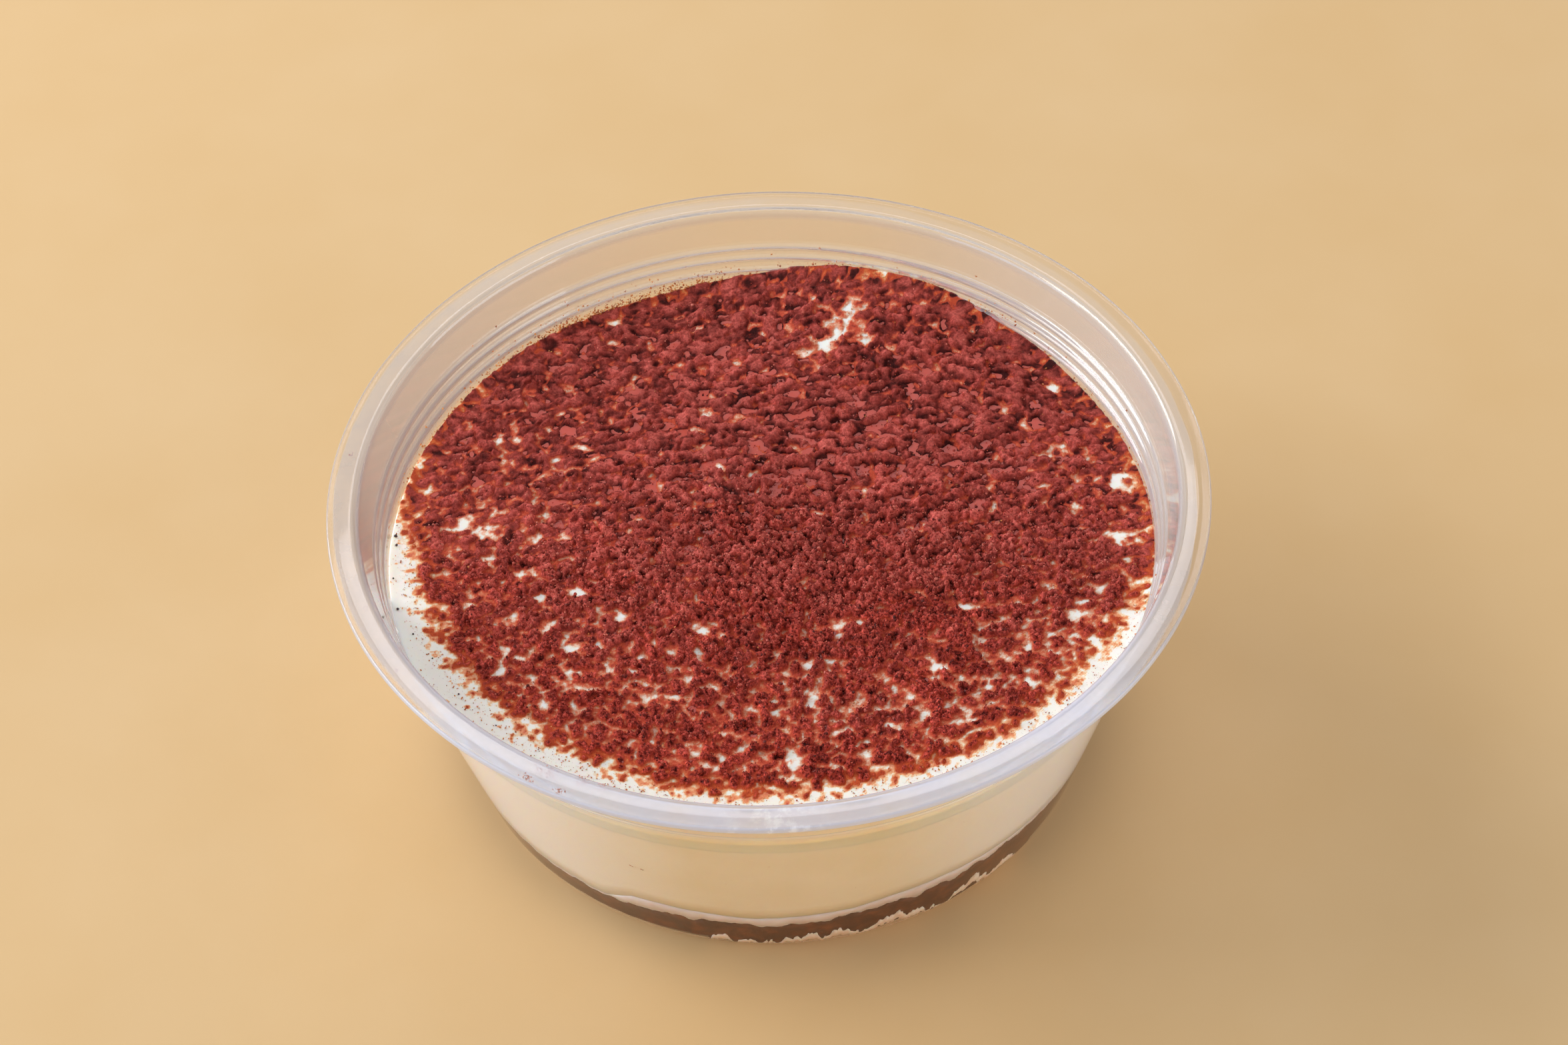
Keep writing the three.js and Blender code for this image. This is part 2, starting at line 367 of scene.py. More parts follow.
def inside_outline(x, y):
    """How far inside the cocoa's outline a place is."""
    azimuth, radius = polar_of(x, y)
    margin = np.interp(np.degrees(azimuth), *zip(*MARGINS))
    return wall_inside(CREAM_LEVEL) - margin - radius


def towards_front(x, y):
    """0 at the back and 1 at the front."""
    return step_between(20, -14, y + 0.1 * np.abs(x))


def closed(x, y):
    """How much cocoa lies between the clods: most in the middle and at the back."""
    place = y / RING - 0.35 * (np.hypot(x, y) / RING) ** 2
    return 0.42 + 0.5 * step_between(-0.8, 0.2, place + 0.22 * swell(x, y, 12.0, 65))


def cocoa_cover(x, y):
    """Below 0 is clean cream, up to 0.5 stained cream, and 1 a full carpet."""
    aside_x = x + 0.5 * swell(x, y, 2.2, 61) + 0.22 * swell(x, y, 0.9, 62)
    aside_y = y + 0.5 * swell(x, y, 2.2, 63) + 0.22 * swell(x, y, 0.9, 64)
    small = 1.6 * (heaps(aside_x, aside_y, 1.45, 72) - 0.42)
    small = small + 0.6 * (heaps(aside_x, aside_y, 0.8, 74) - 0.45)
    large = 0.5 * np.minimum(clods(aside_x, aside_y, 3.4, 71), 0.5) - 0.1
    cover = closed(x, y) + small + large + 0.42 * torn(x, y, 2.8, 73, 4, 0.65)
    cover = cover - 0.7 * step_between(0.34, 0.8, swell(0.8 * x, y, 2.3, 95))
    for centre_x, centre_y, spread, opening in SPARSE:
        cover = cover - opening * bell(np.hypot(x - centre_x, y - centre_y), spread)
    for centre_x, centre_y, long, wide, turned in BARE:
        dx, dy = x - centre_x, y - centre_y
        cosine, sine = math.cos(math.radians(turned)), math.sin(math.radians(turned))
        along, aside = dx * cosine + dy * sine, dy * cosine - dx * sine
        cover = cover - 1.25 * bell(np.hypot(along / long, aside / wide), 0.85)
    inside = inside_outline(x, y)
    fringe = 1 - step_between(-2.6, 2.8, inside)
    blobs = bell(inside - 0.3, 2.2) * torn(x, y, 1.5, 77, 2)
    flakes = bell(inside + 1.6, 1.4) * step_between(0.4, 0.75, swell(x, y, 1.2, 97))
    return cover - 2.1 * fringe + 0.5 * blobs + 0.9 * flakes


print("cover in the middle: %.2f" % cocoa_cover(np.array(0.0), np.array(0.0)))

# %% [markdown]
# The crust's relief differs from back to front. Behind, the powder has caked into soft long
# lumps. In front, where it is damp and thin, it is round grains on round clods.

# %% Relief of the crust
CRUST_FROM = 0.55  # cover from which there is crust and not only a stain


def grains(x, y):
    """Packed cocoa, about from -0.6 to 0.6: long soft lumps behind, round ones in front."""
    aside_x, aside_y = x + 0.3 * swell(x, y, 1.3, 81), y + 0.3 * swell(x, y, 1.3, 82)
    soft = 0.66 * swell(0.6 * aside_x, aside_y, 1.45, 87) + 0.36 * swell(0.75 * aside_x, aside_y, 0.7, 88)
    coarse = domes(0.85 * aside_x, aside_y, 1.2, 83) - 0.68
    fine = domes(aside_x, aside_y, 0.66, 84) - 0.68
    front = towards_front(x, y)
    even = (1 + 1.2 * bell(np.hypot(x - 7, y + 1), 26)) / np.hypot(front, 1 - front)
    return (soft + (0.6 * coarse + 0.85 * fine - soft) * front) * even


def crust_cover(x, y):
    """Above 0 there is crust, and its outline is that of single grains."""
    thin_edge = 0.4 * bell(inside_outline(x, y) - 0.2, 2.0)
    return cocoa_cover(x, y) - CRUST_FROM - thin_edge + 0.3 * grains(x, y)


def dampness(x, y):
    """The thin cocoa towards the front has drawn up more moisture, and is darker."""
    return step_between(0.45, 1.1, 0.5 - y / 60 + 0.4 * swell(x, y, 9.0, 91) + 0.25 * swell(x, y, 2.6, 92))


def cocoa_height(x, y):
    """Height of the crust above the cream, a thin film beside it, and below 0 in the gaps."""
    crust = crust_cover(x, y)
    thick = step_between(-0.05, 0.65, crust)
    calm = 0.15 + 0.85 * step_between(0.5, 4.5, wall_inside(CREAM_LEVEL) - np.hypot(x, y))
    front = towards_front(x, y)
    rough = (0.85 + 0.1 * front) * grains(x, y)
    rough = rough + 0.12 * swell(x, y, 0.5, 85) + 0.4 * torn(x, y, 3.4, 86, 2)
    film = 0.05 + 0.5 * np.minimum(crust + 0.4, 0)
    lift = (0.3 + 0.1 * front) * (0.4 + 0.6 * calm)
    height = np.where(crust > 0, 0.05 + lift * thick, np.maximum(film, -0.35))
    return height + calm * rough * (0.08 + 0.8 * thick) * np.clip(1 + crust * 4, 0, 1)


print("crust in the middle: %.2f mm" % cocoa_height(np.array(0.0), np.array(0.0)))

# %% [markdown]
# ## Helpers for the pieces
# A piece is modelled with the same operators as by hand. Everything is deselected first,
# because an operator acts on all that is selected. The points are then read as an
# array, moved, and put back in metres.

# %% Helpers for modelling


def fresh_start():
    """Nothing is selected, so that the next operator acts on the new piece alone."""
    bpy.ops.object.select_all(action="DESELECT")


def named(name):
    """Name the piece that was just added, and its mesh."""
    piece = bpy.context.object
    piece.name = name
    piece.data.name = name
    return piece


def points_of(piece):
    """The places of all points, as rows of x, y and z."""
    places = np.empty(len(piece.data.vertices) * 3)
    piece.data.vertices.foreach_get("co", places)
    return places.reshape(-1, 3)


def put_points(piece, places):
    """Move all points to these places, which are in metres by now."""
    piece.data.vertices.foreach_set("co", places.ravel())
    piece.data.update()


def give_values(piece, name, values):
    """Write one number per point, for the materials to read."""
    store = piece.data.attributes.new(name, "FLOAT", "POINT")
    store.data.foreach_set("value", np.asarray(values, dtype=np.float32))


# %% Smoothing, reporting, and a disc from a square


def smooth_faces(piece):
    """Smooth shading, so that small facets don't catch the light one by one."""
    fresh_start()
    piece.select_set(True)
    bpy.context.view_layer.objects.active = piece
    bpy.ops.object.shade_smooth()


def report(piece):
    """Print how many triangles a piece has and how far it reaches."""
    places = points_of(piece)
    low, high = places.min(0) / MM, places.max(0) / MM
    faces = sum(len(face.vertices) - 2 for face in piece.data.polygons)
    print("%s: %d triangles, %s to %s mm" % (piece.name, faces, low.round(1), high.round(1)))


def pull_round(x, y):
    """Pull a square from -1 to 1 out to a round disc, with cells of even size."""
    return x * np.sqrt(1 - y ** 2 / 2), y * np.sqrt(1 - x ** 2 / 2)


print("the middle of a square's side stays at %.1f, %.1f" % pull_round(1.0, 0.0))

# %% [markdown]
# ## The tub
# The real tub is a thin sheet, heated and drawn into a mould. It could be made by
# extruding a circle ring by ring. A profile spun about the middle is shorter, and keeps
# every corner round at once. The rim's outer strip droops a little, and the rim is
# gently wavy, because a drawn sheet never comes out quite flat.

# %% Sizes of the rim, the foot and the beads
RIM_THICKNESS = 0.9
RIM_DROOP = 0.16  # how far the rim's outer strip hangs
DROOP_WIDTH = 1.5
LIP_ROUND = 0.3  # where the wall turns out under the rim
MOUTH_ROUND = 1.1  # where the rim's top turns down into the mouth
EDGE_ROUND = 0.3
FOOT_RADIUS = 36
FOOT_DEPTH = 0.4  # how far the foot is recessed
FOOT_SLOPE = 0.8
BASE_CORNER = 2.2
BEAD_DEPTHS = (6.1, 7.7, 9.5)  # below the rim's top
BEAD_WIDTH = 1.5
BEAD_HEIGHT = 0.48
print("beads at", ", ".join("%.1f" % (RIM_TOP - depth) for depth in BEAD_DEPTHS), "mm")

# %% Round corners and beads


def rounded(start, corner, end, steps=6):
    """Points of a round corner from start to end."""
    points = []
    for step in range(steps + 1):
        share = step / steps
        weights = ((1 - share) ** 2, 2 * share * (1 - share), share ** 2)
        points.append(tuple(
            sum(weight * point[axis] for weight, point in zip(weights, (start, corner, end)))
            for axis in (0, 1)))
    return points


def bead(depth, steps=16):
    """Points down one low bead on the inner wall."""
    points = []
    for step in range(steps + 1):
        height = RIM_TOP - depth + BEAD_WIDTH * (0.5 - step / steps)
        proud = BEAD_HEIGHT * math.sin(math.pi * step / steps) ** 2
        points.append((wall_inside(height) - proud, height))
    return points


def groove(depth, steps=16):
    """The same bead seen from outside, from the bottom up."""
    return [(radius + WALL + 0.05, height) for radius, height in reversed(bead(depth, steps))]


print("one bead has %d points" % len(bead(BEAD_DEPTHS[0])))

# %% The profile in three runs


def wall_outside(height):
    """Radius of the tub's outer face."""
    return wall_inside(height) + WALL


def outer_profile():
    """From the middle of the recessed foot outwards and up the outer face."""
    points = [(0, FOOT_DEPTH), (FOOT_RADIUS - FOOT_SLOPE, FOOT_DEPTH)]
    points += rounded((FOOT_RADIUS - 0.4, 0.2), (FOOT_RADIUS, 0), (FOOT_RADIUS + 0.6, 0), 3)
    points += rounded((wall_outside(0) - BASE_CORNER, 0), (wall_outside(0), 0),
                      (wall_outside(BASE_CORNER), BASE_CORNER), 8)
    points += [(wall_outside(height), height) for height in (10, 20, 30, 33)]
    for depth in reversed(BEAD_DEPTHS):
        points += groove(depth)
    return points + [(wall_outside(40), 40), (wall_outside(42), 42)]


def rim_profile():
    """Out under the rim, round its edge and back over its top to the mouth."""
    under = RIM_TOP - RIM_THICKNESS
    points = rounded((wall_outside(under - LIP_ROUND), under - LIP_ROUND),
                     (wall_outside(under), under), (wall_outside(under) + LIP_ROUND, under))
    points += [(RIM_RADIUS - DROOP_WIDTH, under)]
    points += rounded((RIM_RADIUS - EDGE_ROUND, under - RIM_DROOP),
                      (RIM_RADIUS, under - RIM_DROOP),
                      (RIM_RADIUS, under + EDGE_ROUND - RIM_DROOP))
    points += rounded((RIM_RADIUS, RIM_TOP - EDGE_ROUND - RIM_DROOP),
                      (RIM_RADIUS, RIM_TOP - RIM_DROOP),
                      (RIM_RADIUS - EDGE_ROUND, RIM_TOP - RIM_DROOP + 0.04))
    points += rounded((RIM_RADIUS - DROOP_WIDTH + 0.3, RIM_TOP - 0.03),
                      (RIM_RADIUS - DROOP_WIDTH, RIM_TOP), (RIM_RADIUS - DROOP_WIDTH - 0.3, RIM_TOP), 3)
    points += rounded((MOUTH_RADIUS + MOUTH_ROUND, RIM_TOP), (MOUTH_RADIUS, RIM_TOP),
                      (wall_inside(RIM_TOP - MOUTH_ROUND), RIM_TOP - MOUTH_ROUND), 10)
    return points


def inner_profile():
    """Down the inner face and over the floor to its middle."""
    points = []
    for depth in BEAD_DEPTHS:
        points += bead(depth)
    points += [(wall_inside(height), height) for height in (30, 20, 10)]
    corner_top = FLOOR + FLOOR_CORNER
    points += rounded((wall_inside(corner_top), corner_top), (wall_inside(FLOOR), FLOOR),
                      (wall_inside(FLOOR) - FLOOR_CORNER, FLOOR))
    points += [(20, FLOOR), (0, FLOOR)]
    return points


profile = outer_profile() + rim_profile() + inner_profile()
print("the profile has %d points" % len(profile))

# %% [markdown]
# A line is drawn by extruding a point from place to place, and Spin turns it once round
# the middle. Merging doubled points closes the seam and both poles. The normals are
# turned outwards last, because Spin may leave them inside out.

# %% Draw the profile and spin it
TUB_STEPS = 240


def draw_line(name, points):
    """A line of edges in the XZ plane, drawn from point to point by extruding."""
    fresh_start()
    bpy.ops.mesh.primitive_plane_add(size=1)
    line = named(name)
    bpy.ops.object.mode_set(mode="EDIT")
    bpy.ops.mesh.merge(type="CENTER")
    radius, height = points[0]
    bpy.ops.transform.translate(value=(radius, 0, height))
    for (from_radius, from_height), (radius, height) in zip(points, points[1:]):
        way = (radius - from_radius, 0, height - from_height)
        bpy.ops.mesh.extrude_region_move(TRANSFORM_OT_translate={"value": way})
    bpy.ops.object.mode_set(mode="OBJECT")
    return line


def spin_round(piece, steps):
    """Spin a line once about Z and join it to itself."""
    bpy.ops.object.mode_set(mode="EDIT")
    bpy.ops.mesh.select_all(action="SELECT")
    bpy.ops.mesh.spin(steps=steps, angle=2 * math.pi, center=(0, 0, 0), axis=(0, 0, 1))
    bpy.ops.mesh.select_all(action="SELECT")
    bpy.ops.mesh.remove_doubles(threshold=0.002)
    bpy.ops.mesh.normals_make_consistent(inside=False)
    bpy.ops.object.mode_set(mode="OBJECT")


tub = draw_line("tub_wall", profile)
spin_round(tub, TUB_STEPS)
print("the spun tub has %d points" % len(tub.data.vertices))

# %% [markdown]
# A spun tub is too perfect. On the real one the beads are crisp only at the back right and
# shallow elsewhere, and the outer face is smooth in front. The rim is wavy, and its edge
# droops by a changing amount.

# %% Shallow beads and a wavy rim
BEADS_FROM, BEADS_TO = 33.5, 40
CRISP_AZIMUTH, CRISP_SPREAD = 28, 36
SHALLOW = 0.25  # height of the beads elsewhere, as a share
SMOOTH_AZIMUTH, SMOOTH_SPREAD = -92, 42
WAVE = 0.05  # how far the rim dips, on average
EDGE_WAVE = 0.03  # and how much more its edge does

places = points_of(tub)
azimuth, radius = polar_of(places[:, 0], places[:, 1])
ring_x, ring_y = on_wall(azimuth)
height = places[:, 2]
on_beads = (height > BEADS_FROM) & (height < BEADS_TO)
outside = radius > wall_inside(height) + 0.4
plain = wall_inside(height) + np.where(outside, WALL, 0)
faint = 1 - (SHALLOW + (1 - SHALLOW) * bell(around(azimuth, CRISP_AZIMUTH), CRISP_SPREAD))
smoothed = np.minimum(1.6 * bell(around(azimuth, SMOOTH_AZIMUTH), SMOOTH_SPREAD), 1)
faint = np.maximum(faint, outside * smoothed)
radius_now = np.where(on_beads, radius + (plain - radius) * faint, radius)
places[:, :2] *= (radius_now / np.maximum(radius, 1))[:, None]
on_rim = step_between(MOUTH_RADIUS + 0.6, MOUTH_RADIUS + 1.6, radius)
places[:, 2] -= on_rim * (WAVE + WAVE * swell(ring_x, ring_y, 11.0, 21))
tilt = step_between(RIM_RADIUS - 1.8, RIM_RADIUS - 0.6, radius)
places[:, 2] -= on_rim * tilt * (EDGE_WAVE + EDGE_WAVE * swell(ring_x, ring_y, 9.0, 22))
put_points(tub, places * MM)
print("the rim reaches from %.2f to %.2f mm" % (places[on_rim > 0.99, 2].min(), places[:, 2].max()))

# %% [markdown]
# The sheet isn't equally clear all round. The rim has a milky band, most at the front, and
# the bare wall above the food is a little cloudy. Both are partly real haze and partly
# painted reflection of the light behind and beside the tub. Painting it by hand would work
# as well, but a short table round the tub is easier to change. Each point carries its share
# to the material.

# %% How milky the plastic is round the rim and the wall, painted reflection included
# The band's haze is partly painted reflection of the light behind the tub, mirrored in the flat rim most at
# the front and the left.
BAND_HAZE_AND_PAINTED_REFLECTION = (  # azimuth in degrees, haze of the rim's inner band
    (-180, 0.2), (-140, 0.32), (-100, 0.38), (-50, 0.38), (-25, 0.25), (0, 0.15), (25, 0.08),
    (50, 0.04), (85, 0.05), (105, 0.1), (140, 0.16), (165, 0.19), (180, 0.2))
BAND_EDGES = (  # azimuth in degrees, width of that band
    (-180, 3.1), (-140, 3.1), (-118, 4.3), (-50, 4.3), (-33, 3.2), (-10, 2.1), (40, 2.0), (70, 2.4),
    (110, 2.6), (150, 2.9), (180, 3.1))
# The wall's haze is partly painted reflection, most where the wall is seen edge-on at the left and the
# right.
WALL_HAZE_AND_PAINTED_REFLECTION = (  # azimuth in degrees, haze of the wall above the filling
    (-180, 0.2), (-90, 0.08), (-30, 0.12), (0, 0.15), (30, 0.17), (50, 0.13), (75, 0.055), (95, 0.06),
    (115, 0.11), (135, 0.17), (160, 0.2), (180, 0.2))
print("the milky band is up to %.1f mm wide" % max(width for _, width in BAND_EDGES))

# %% Give the haze to the tub
RIM_FROM = 42  # height above which a point belongs to the rim
FROST_AZIMUTH, FROST_SPREAD = -91, 3.5

degrees = np.degrees(azimuth)
above = places[:, 2] > RIM_FROM
band_width = np.interp(degrees, *zip(*BAND_EDGES)) + 0.16 * torn(ring_x, ring_y, 7.0, 23, 3)
on_flange = (radius > MOUTH_RADIUS + 0.8) & above
give_values(tub, "haze_and_painted_reflection", np.interp(degrees, *zip(*BAND_HAZE_AND_PAINTED_REFLECTION)))
give_values(tub, "band", above * (band_width + MOUTH_RADIUS) * MM)
give_values(tub, "frost", on_flange * bell(around(azimuth, FROST_AZIMUTH), FROST_SPREAD))
give_values(tub, "cloudy_and_painted_reflection", np.interp(degrees, *zip(*WALL_HAZE_AND_PAINTED_REFLECTION)))
smooth_faces(tub)
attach(tub, "root")
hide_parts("tub")
report(tub)

# %% [markdown]
# ## The layers that show through the wall
# Each layer is a disc that fills the tub from one line to the next. It starts as a
# cylinder with many sides, so that its ragged lines are fine at the wall, and its two
# flat ends are inset a few times, so that the lines can fade out towards the middle.
# The points are then moved out to the wall and up or down to the lines. The disc
# reaches a little into the wall, because real cream wets the plastic with no gap.

# %% Shaping a cylinder into a disc
LAYER_SIDES = 1200
INSETS = (0.03, 0.07, 0.15, 0.25)  # as shares of the radius


def inset_ends(layer):
    """Inset both flat ends a few times, for points between the wall and the middle."""
    bpy.ops.object.mode_set(mode="EDIT")
    for end in (0, 1):
        bpy.ops.object.mode_set(mode="OBJECT")
        for face in layer.data.polygons:
            face.select = len(face.vertices) > 4 and abs(face.center.z - end) < 0.01
        bpy.ops.object.mode_set(mode="EDIT")
        bpy.ops.mesh.select_mode(type="FACE")
        for inset in INSETS:
            bpy.ops.mesh.inset(thickness=inset)
    bpy.ops.mesh.select_all(action="DESELECT")
    bpy.ops.object.mode_set(mode="OBJECT")


def cut_side(layer, rings):
    """Divide the side into rings by subdividing its upright edges."""
    for edge in layer.data.edges:
        ends = [layer.data.vertices[corner].co for corner in edge.vertices]
        edge.select = abs(ends[0].z - ends[1].z) > 0.5
    bpy.ops.object.mode_set(mode="EDIT")
    bpy.ops.mesh.select_mode(type="EDGE")
    bpy.ops.object.mode_set(mode="OBJECT")
    bpy.ops.object.mode_set(mode="EDIT")
    bpy.ops.mesh.subdivide(number_cuts=rings - 1)
    bpy.ops.object.mode_set(mode="OBJECT")


print("points across a layer lie at", np.round(1 - np.cumsum(INSETS), 2), "of its radius")

# %% Discs between two lines


def layer_disc(name, low, high, rings, node):
    """A filled disc between two surfaces, given as heights over azimuth and share."""
    fresh_start()
    bpy.ops.mesh.primitive_cylinder_add(
        vertices=LAYER_SIDES, radius=1, depth=1, location=(0, 0, 0.5), end_fill_type="NGON")
    layer = named(name)
    bpy.ops.object.transform_apply(location=True, rotation=False, scale=False)
    inset_ends(layer)
    cut_side(layer, rings)
    places = points_of(layer)
    azimuth, share = polar_of(places[:, 0], places[:, 1])
    bottom, top = low(azimuth, share), high(azimuth, share)
    height = bottom + (np.maximum(top, bottom + 0.02) - bottom) * places[:, 2]
    put_points(layer, at_polar(azimuth, share * filling_radius(height), height) * MM)
    smooth_faces(layer)
    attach(layer, "root")
    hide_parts(node)
    report(layer)
    return layer


def floor_top(azimuth, share):
    """The tub's floor, and a hair lower so that no air shows."""
    return np.full_like(azimuth, FLOOR - 0.05)


def soaked_top_clear(azimuth, share):
    """The soaked cream always keeps at least a film over the sponge."""
    return np.maximum(soaked_cream_top(azimuth, share), sponge_top(azimuth, share) + 0.25)


bottom_cream = layer_disc(
    "bottom_cream_layer", floor_top, bottom_cream_top, 2, "bottom_cream")
sponge = layer_disc(
    "sponge_layer", bottom_cream_top, sponge_top, 3, "sponge")
soaked_cream = layer_disc(
    "soaked_cream_layer", sponge_top, soaked_top_clear, 2, "soaked_cream")

# %% [markdown]
# ## The mascarpone
# This is the thick pale layer. Its top is seen as well as its side, so it starts as a
# fine grid pulled out to a round disc. The grid's border is extruded down the wall ring
# by ring and closed underneath. Each point of the top also stores how thickly cocoa
# lies there, because the cream is stained orange next to the cocoa.

# %% A square slab for round pieces


def round_slab(name, cells, rings, half=0):
    """A grid with its border extruded down in rings and closed below: whole, or half 1 or -1."""
    fresh_start()
    deep = cells // 2 if half else cells
    bpy.ops.mesh.primitive_grid_add(x_subdivisions=cells, y_subdivisions=deep, size=2)
    slab = named(name)
    bpy.ops.object.mode_set(mode="EDIT")
    if half:
        bpy.ops.transform.resize(value=(1, 0.5, 1))
        bpy.ops.transform.translate(value=(0, 0.5 * half, 0))
    bpy.ops.mesh.select_mode(type="EDGE")
    bpy.ops.mesh.select_all(action="DESELECT")
    bpy.ops.mesh.select_non_manifold()
    for _ in range(rings):
        way = (0, 0, -1 / rings)
        bpy.ops.mesh.extrude_region_move(TRANSFORM_OT_translate={"value": way})
    bpy.ops.mesh.edge_face_add()
    bpy.ops.mesh.select_all(action="SELECT")
    bpy.ops.mesh.normals_make_consistent(inside=False)
    bpy.ops.object.mode_set(mode="OBJECT")
    return slab


# %% The mascarpone cream
CREAM_CELLS = 292
CREAM_RINGS = 8

mascarpone = round_slab("mascarpone_cream", CREAM_CELLS, CREAM_RINGS)
places = points_of(mascarpone)
down = -places[:, 2]
x, y = pull_round(places[:, 0], places[:, 1])
azimuth, share = polar_of(x, y)
x, y = x * wall_inside(CREAM_LEVEL), y * wall_inside(CREAM_LEVEL)
top, bottom = cream_top(x, y), soaked_top_clear(azimuth, share)
height = top + (bottom - top) * down
places = at_polar(azimuth, share * filling_radius(height), height)
put_points(mascarpone, places * MM)
smooth_faces(mascarpone)
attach(mascarpone, "root")
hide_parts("mascarpone")
report(mascarpone)

# %% What the mascarpone's points know about the cocoa
on_top = down < 0.001
x, y = places[:, 0], places[:, 1]
give_values(mascarpone, "cover", np.where(on_top, cocoa_cover(x, y), -1.0))
give_values(mascarpone, "grain", np.where(on_top, grains(x, y), 0.0))
give_values(mascarpone, "inside", np.where(on_top, inside_outline(x, y), 0.0))
print("%d points of the cream lie on top" % on_top.sum())

# %% [markdown]
# ## Cream smeared up the front wall
# At the front a thin film of cream runs up the wall to just under the rim, as it does
# where a spoon was wiped off. It could be painted on the plastic, but then it would
# vanish with the clear material. It is modelled as a very thin slab: a grid extruded
# once, rolled round the wall, and thinned towards its torn upper edge. It comes out of
# the thick cream's side without a step, so no line shows where it starts.

# %% A slab for the smear
SMEAR_FROM, SMEAR_TO = -178, -2
SMEAR_LOW, SMEAR_HIGH = CREAM_LEVEL - 5.0, 43.1

fresh_start()
bpy.ops.mesh.primitive_grid_add(x_subdivisions=420, y_subdivisions=22, size=2)
smear = named("cream_smear")
bpy.ops.object.mode_set(mode="EDIT")
bpy.ops.mesh.select_all(action="SELECT")
bpy.ops.mesh.extrude_region_move(TRANSFORM_OT_translate={"value": (0, 0, 1)})
bpy.ops.mesh.select_all(action="SELECT")
bpy.ops.mesh.normals_make_consistent(inside=False)
bpy.ops.object.mode_set(mode="OBJECT")
print("the slab has %d points" % len(smear.data.vertices))

# %% Roll the smear round the wall
places = points_of(smear)
along, up, inner = (places[:, 0] + 1) / 2, (places[:, 1] + 1) / 2, places[:, 2] > 0.5
azimuth = np.radians(SMEAR_FROM + along * (SMEAR_TO - SMEAR_FROM))
ring_x, ring_y = on_wall(azimuth)
ends = step_between(0, 0.09, along) * step_between(1, 0.91, along)
high = SMEAR_LOW + (SMEAR_HIGH - SMEAR_LOW + 0.3 * torn(ring_x, ring_y, 5.0, 111, 4)) * ends
height = SMEAR_LOW + (high - SMEAR_LOW) * up + 0.001
thick = 0.22 + 0.3 * (1 - up) ** 2 + 0.12 * torn(ring_x, ring_y + 2.1 * height, 3.0, 112)
thick *= step_between(1, 0.93, up) * ends + 0.02
sink = 0.12 + 0.22 * step_between(0, 5, height - SMEAR_LOW)
radius = wall_inside(height) + sink - np.where(inner, np.maximum(thick, 0.02), 0)
put_points(smear, at_polar(azimuth, radius, height) * MM)
smooth_faces(smear)
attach(smear, "root")
report(smear)

# %% [markdown]
# ## The cocoa
# Sieved cocoa that has drawn up some moisture from the cream: a crust of crumbs that
# stick together. It is a finer slab of the same kind, lifted to the cocoa's height, and
# made in two halves because one mesh this fine would be too heavy. Where the cream is
# bare it dips below the cream's surface, so the cream itself shows there.

# %% The cocoa crust
CRUST_CELLS = 430
CRUST_DEPTH = 1.2  # how far the crust's underside lies below the cream's surface
EDGE_ZONE = 3.0  # within this of the wall the crust follows the filling's own radius


def crust_half(name, way):
    """The back half (way 1) or front half (way -1) of the crust, as one closed slab."""
    half = round_slab(name, CRUST_CELLS, 1, way)
    places = points_of(half)
    under = places[:, 2] < -0.5
    x, y = pull_round(places[:, 0], places[:, 1])
    reach = wall_inside(CREAM_LEVEL) + 0.1
    x, y = x * reach, y * reach
    height = cream_top(x, y) + np.where(under, -CRUST_DEPTH, cocoa_height(x, y))
    radius_now = np.hypot(x, y)
    spread = np.minimum(radius_now, reach) / np.maximum(radius_now, 0.001)
    edge = step_between(reach - EDGE_ZONE, reach, radius_now)
    spread = spread * (1 + edge * (filling_radius(height) - 0.1 - reach) / reach)
    put_points(half, np.stack([x * spread, y * spread, height], 1) * MM)
    give_values(half, "cover", np.where(under, 1.0, cocoa_cover(x, y)))
    give_values(half, "crust", np.where(under, 1.0, crust_cover(x, y)))
    give_values(half, "grain", np.where(under, 0.0, grains(x, y)))
    give_values(half, "inside", np.where(under, 9.0, inside_outline(x, y)))
    give_values(half, "damp", dampness(x, y))
    smooth_faces(half)
    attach(half, "root")
    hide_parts("cocoa")
    report(half)
    return half


cocoa_back = crust_half("cocoa_crust_back", 1)
cocoa_front = crust_half("cocoa_crust_front", -1)

# %% [markdown]
# ## Loose crumbs and specks
# Thousands of crumbs lie on the crust and dust the bare cream. A particle system could
# strew them, but then they would be no part of the mesh. So one crumb is modelled, and its
# copies are put into one mesh, each turned and sized another way. A shape with so many
# copies has only a few faces.

# %% One crumb and one grain


def roughened(offset, seed):
    """Push the new piece's points about, read its shape and remove it again."""
    crumb = bpy.context.object
    bpy.ops.object.mode_set(mode="EDIT")
    bpy.ops.mesh.select_all(action="SELECT")
    bpy.ops.transform.vertex_random(offset=offset, seed=seed)
    bpy.ops.object.mode_set(mode="OBJECT")
    places = points_of(crumb)
    faces = np.array([face.vertices[:] for face in crumb.data.polygons])
    bpy.data.objects.remove(crumb)
    return places, faces


def one_crumb(seed):
    """A lumpy crumb with 20 faces, about 1 across. Returns its points and faces."""
    fresh_start()
    bpy.ops.mesh.primitive_ico_sphere_add(subdivisions=1, radius=0.5)
    return roughened(0.13, seed)


